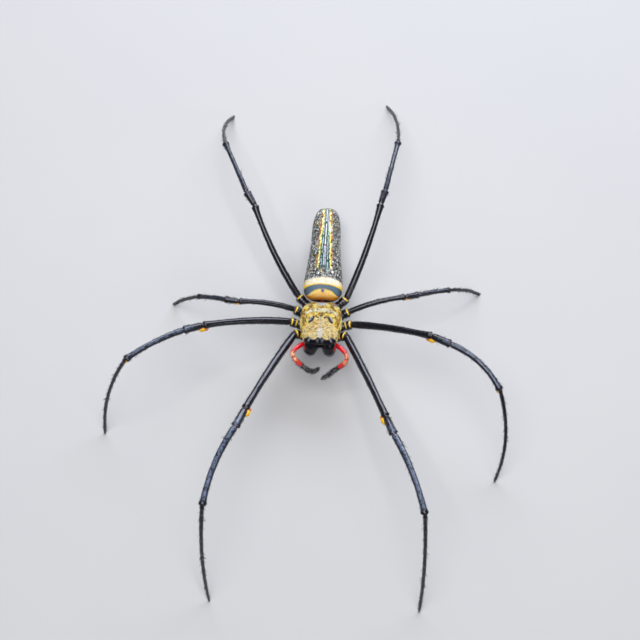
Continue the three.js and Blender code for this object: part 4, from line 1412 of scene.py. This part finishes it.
def build_underside():
    rng = np.random.default_rng(31)
    points, tips = body_form(STERNUM, [3, 2.5], 2.4, 90, 110)
    knobs = sum(bump_at(points[..., 1], y, 0.5) for y in (-1.7, 0.4, 2.6))
    knobs *= 0.13 * bump_at(np.abs(points[..., 0]), 1.9, 0.4)
    points[..., 2] -= knobs * (points[..., 2] < -2.35)
    plate = trunk_skin(points, tips)
    look = polish_look("sternum", BLACK, sternum_patches, 0.28)
    show("sternum_skin", [plate], look, "black_cuticle", ["sternum"])
    mouth = [blob(*form) for form in (LIP, *MOUTH_PLATES)]
    look = polish_look("mouthparts", (0.014, 0.01, 0.01))
    fuse("mouthparts_skin", mouth, 0.06, look, "black_cuticle", ["mouthparts"])
    groups = [plate.hairs(rng, "breastplate", points[..., 2] < -2.4)]
    groups[0]["along"] = from_trunk([0, 1, 0]) - from_trunk([0, 0, 0])
    for form in mouth[1:]:
        place = form.fields["place"]
        groups.append(form.hairs(rng, "mouth", (place[..., 1] < -4.3) * (place[..., 2] < -2.3)))
    bristle = hair_look("belly_bristles", (0.1, 0.08, 0.06), (0.05, 0.035, 0.025))
    bristles("underside_bristles", groups, bristle, "black_cuticle", rng)


# Abdomen


def abdomen_relief(points):
    x, y = np.abs(points[..., 0]), points[..., 1]
    folds = 0.03 * np.sin((y - 13) * TAU / 2.1) * smooth_step(x, 1.2, 3.0)
    dimples = -0.14 * bump_at(x, 1.15, 0.22) * sum(bump_at(y, row, 0.26) for row in (15.5, 19.5, 23.8))
    return folds + dimples + ripple(points, "abdomen")


def build_abdomen():
    skin = trunk_skin(*body_form(ABDOMEN, [5.5, 3.4], 2.2, 300, 240, abdomen_relief))
    show("abdomen_skin", [skin], abdomen_look("abdomen_skin", False), "abdomen_pattern", ["abdomen"])
    rng = np.random.default_rng(43)
    down = skin.hairs(rng, "abdomen")
    bristles("abdomen_down", [down], abdomen_look("abdomen_down", True), "abdomen_pattern", rng)
    waist = trunk_limb(bent(PEDICEL_LINE, 50), [PEDICEL_RADIUS] * 2, PEDICEL_GIRTH, 48)
    look = polish_look("pedicel", (0.07, 0.018, 0.01), coat=0.9)
    show("pedicel_skin", [waist], look, "brown_cuticle", ["pedicel"])
    build_spinnerets(rng)


def build_spinnerets(rng):
    forms = [blob(*SPINNERET_MOUND), blob(*TAIL_KNOB)]
    groups = []
    for side in SIDES.values():
        for x, y, reach in SPINNERET_PAIRS:
            start = np.array([side * x, y, SPINNERET["top"]])
            low = SPINNERET["bottom"] - reach * SPINNERET["slope"]
            end = np.array([side * x * SPINNERET["converge"], y + reach, low])
            line = start + (end - start) * np.linspace(0, 1, 40)[:, None]
            cone = trunk_limb(line, SPINNERET["radii"], SPINNERET_GIRTH, 36)
            forms.append(cone)
            furry = smooth_step(cone.t, 0.4, 0.6) * (cone.t < 0.95)
            groups.append(cone.hairs(rng, "spinneret", furry))
    look = polish_look("spinnerets", (0.045, 0.02, 0.012), roughness=0.3)
    fuse("spinnerets_skin", forms, 0.05, look, "brown_cuticle", ["spinnerets"])
    bristle = hair_look("spinneret_bristles", (0.1, 0.07, 0.05), (0.06, 0.04, 0.03))
    bristles("spinneret_bristles", groups, bristle, "brown_cuticle", rng)


# Camera, light and floor


def aimed(name, data, place, target):
    """An object of the scene at a place, turned towards its target."""
    thing = bpy.data.objects.new(name, data)
    bpy.context.scene.collection.objects.link(thing)
    thing.location = place
    thing.rotation_euler = (Vector(target) - Vector(place)).to_track_quat("-Z", "Y").to_euler()
    return thing


def build_camera():
    target = (np.array(CAMERA_TARGET) + SHIFT) * MM
    cos, sin = math.cos(CAMERA_ELEVATION), math.sin(CAMERA_ELEVATION)
    back = np.array([math.sin(CAMERA_AZIMUTH) * cos, -math.cos(CAMERA_AZIMUTH) * cos, sin])
    data = bpy.data.cameras.new("camera")
    data.type = "PERSP"
    data.sensor_width = CAMERA_SENSOR
    data.lens = CAMERA_LENS
    data.clip_start = 0.01
    bpy.context.scene.camera = aimed("camera", data, target + back * CAMERA_DISTANCE * MM, target)


def build_studio():
    bpy.context.scene.view_settings.view_transform = "Standard"
    world = bpy.data.worlds.new("studio")
    bpy.context.scene.world = world
    world.use_nodes = True
    sky = world.node_tree.nodes["Background"].inputs
    sky["Color"].default_value = WORLD_COLOUR
    sky["Strength"].default_value = WORLD_STRENGTH
    for name, (place, size, power, colour) in LIGHTS.items():
        data = bpy.data.lights.new(name, "AREA")
        data.shape = "RECTANGLE"
        data.size, data.size_y = size
        data.energy = power
        data.color = colour
        aimed(name, data, place, LIGHT_TARGET)
    look = Look("floor")
    material = look.finish(mix((0.55, 0.56, 0.57), (0.59, 0.59, 0.59), look.place.noise(0.02, 3)), 0.75)
    corners = np.array([[-1, -1, 0], [1, -1, 0], [1, 1, 0], [-1, 1, 0]]) * FLOOR_HALF - SHIFT
    make_object("floor", corners, [[0, 1, 2, 3]], material, {"place": corners})


build_camera()
build_studio()
build_legs()
shield = build_carapace()
gold_down(shield)
build_eyes()
build_jaws()
build_palps()
build_underside()
build_abdomen()
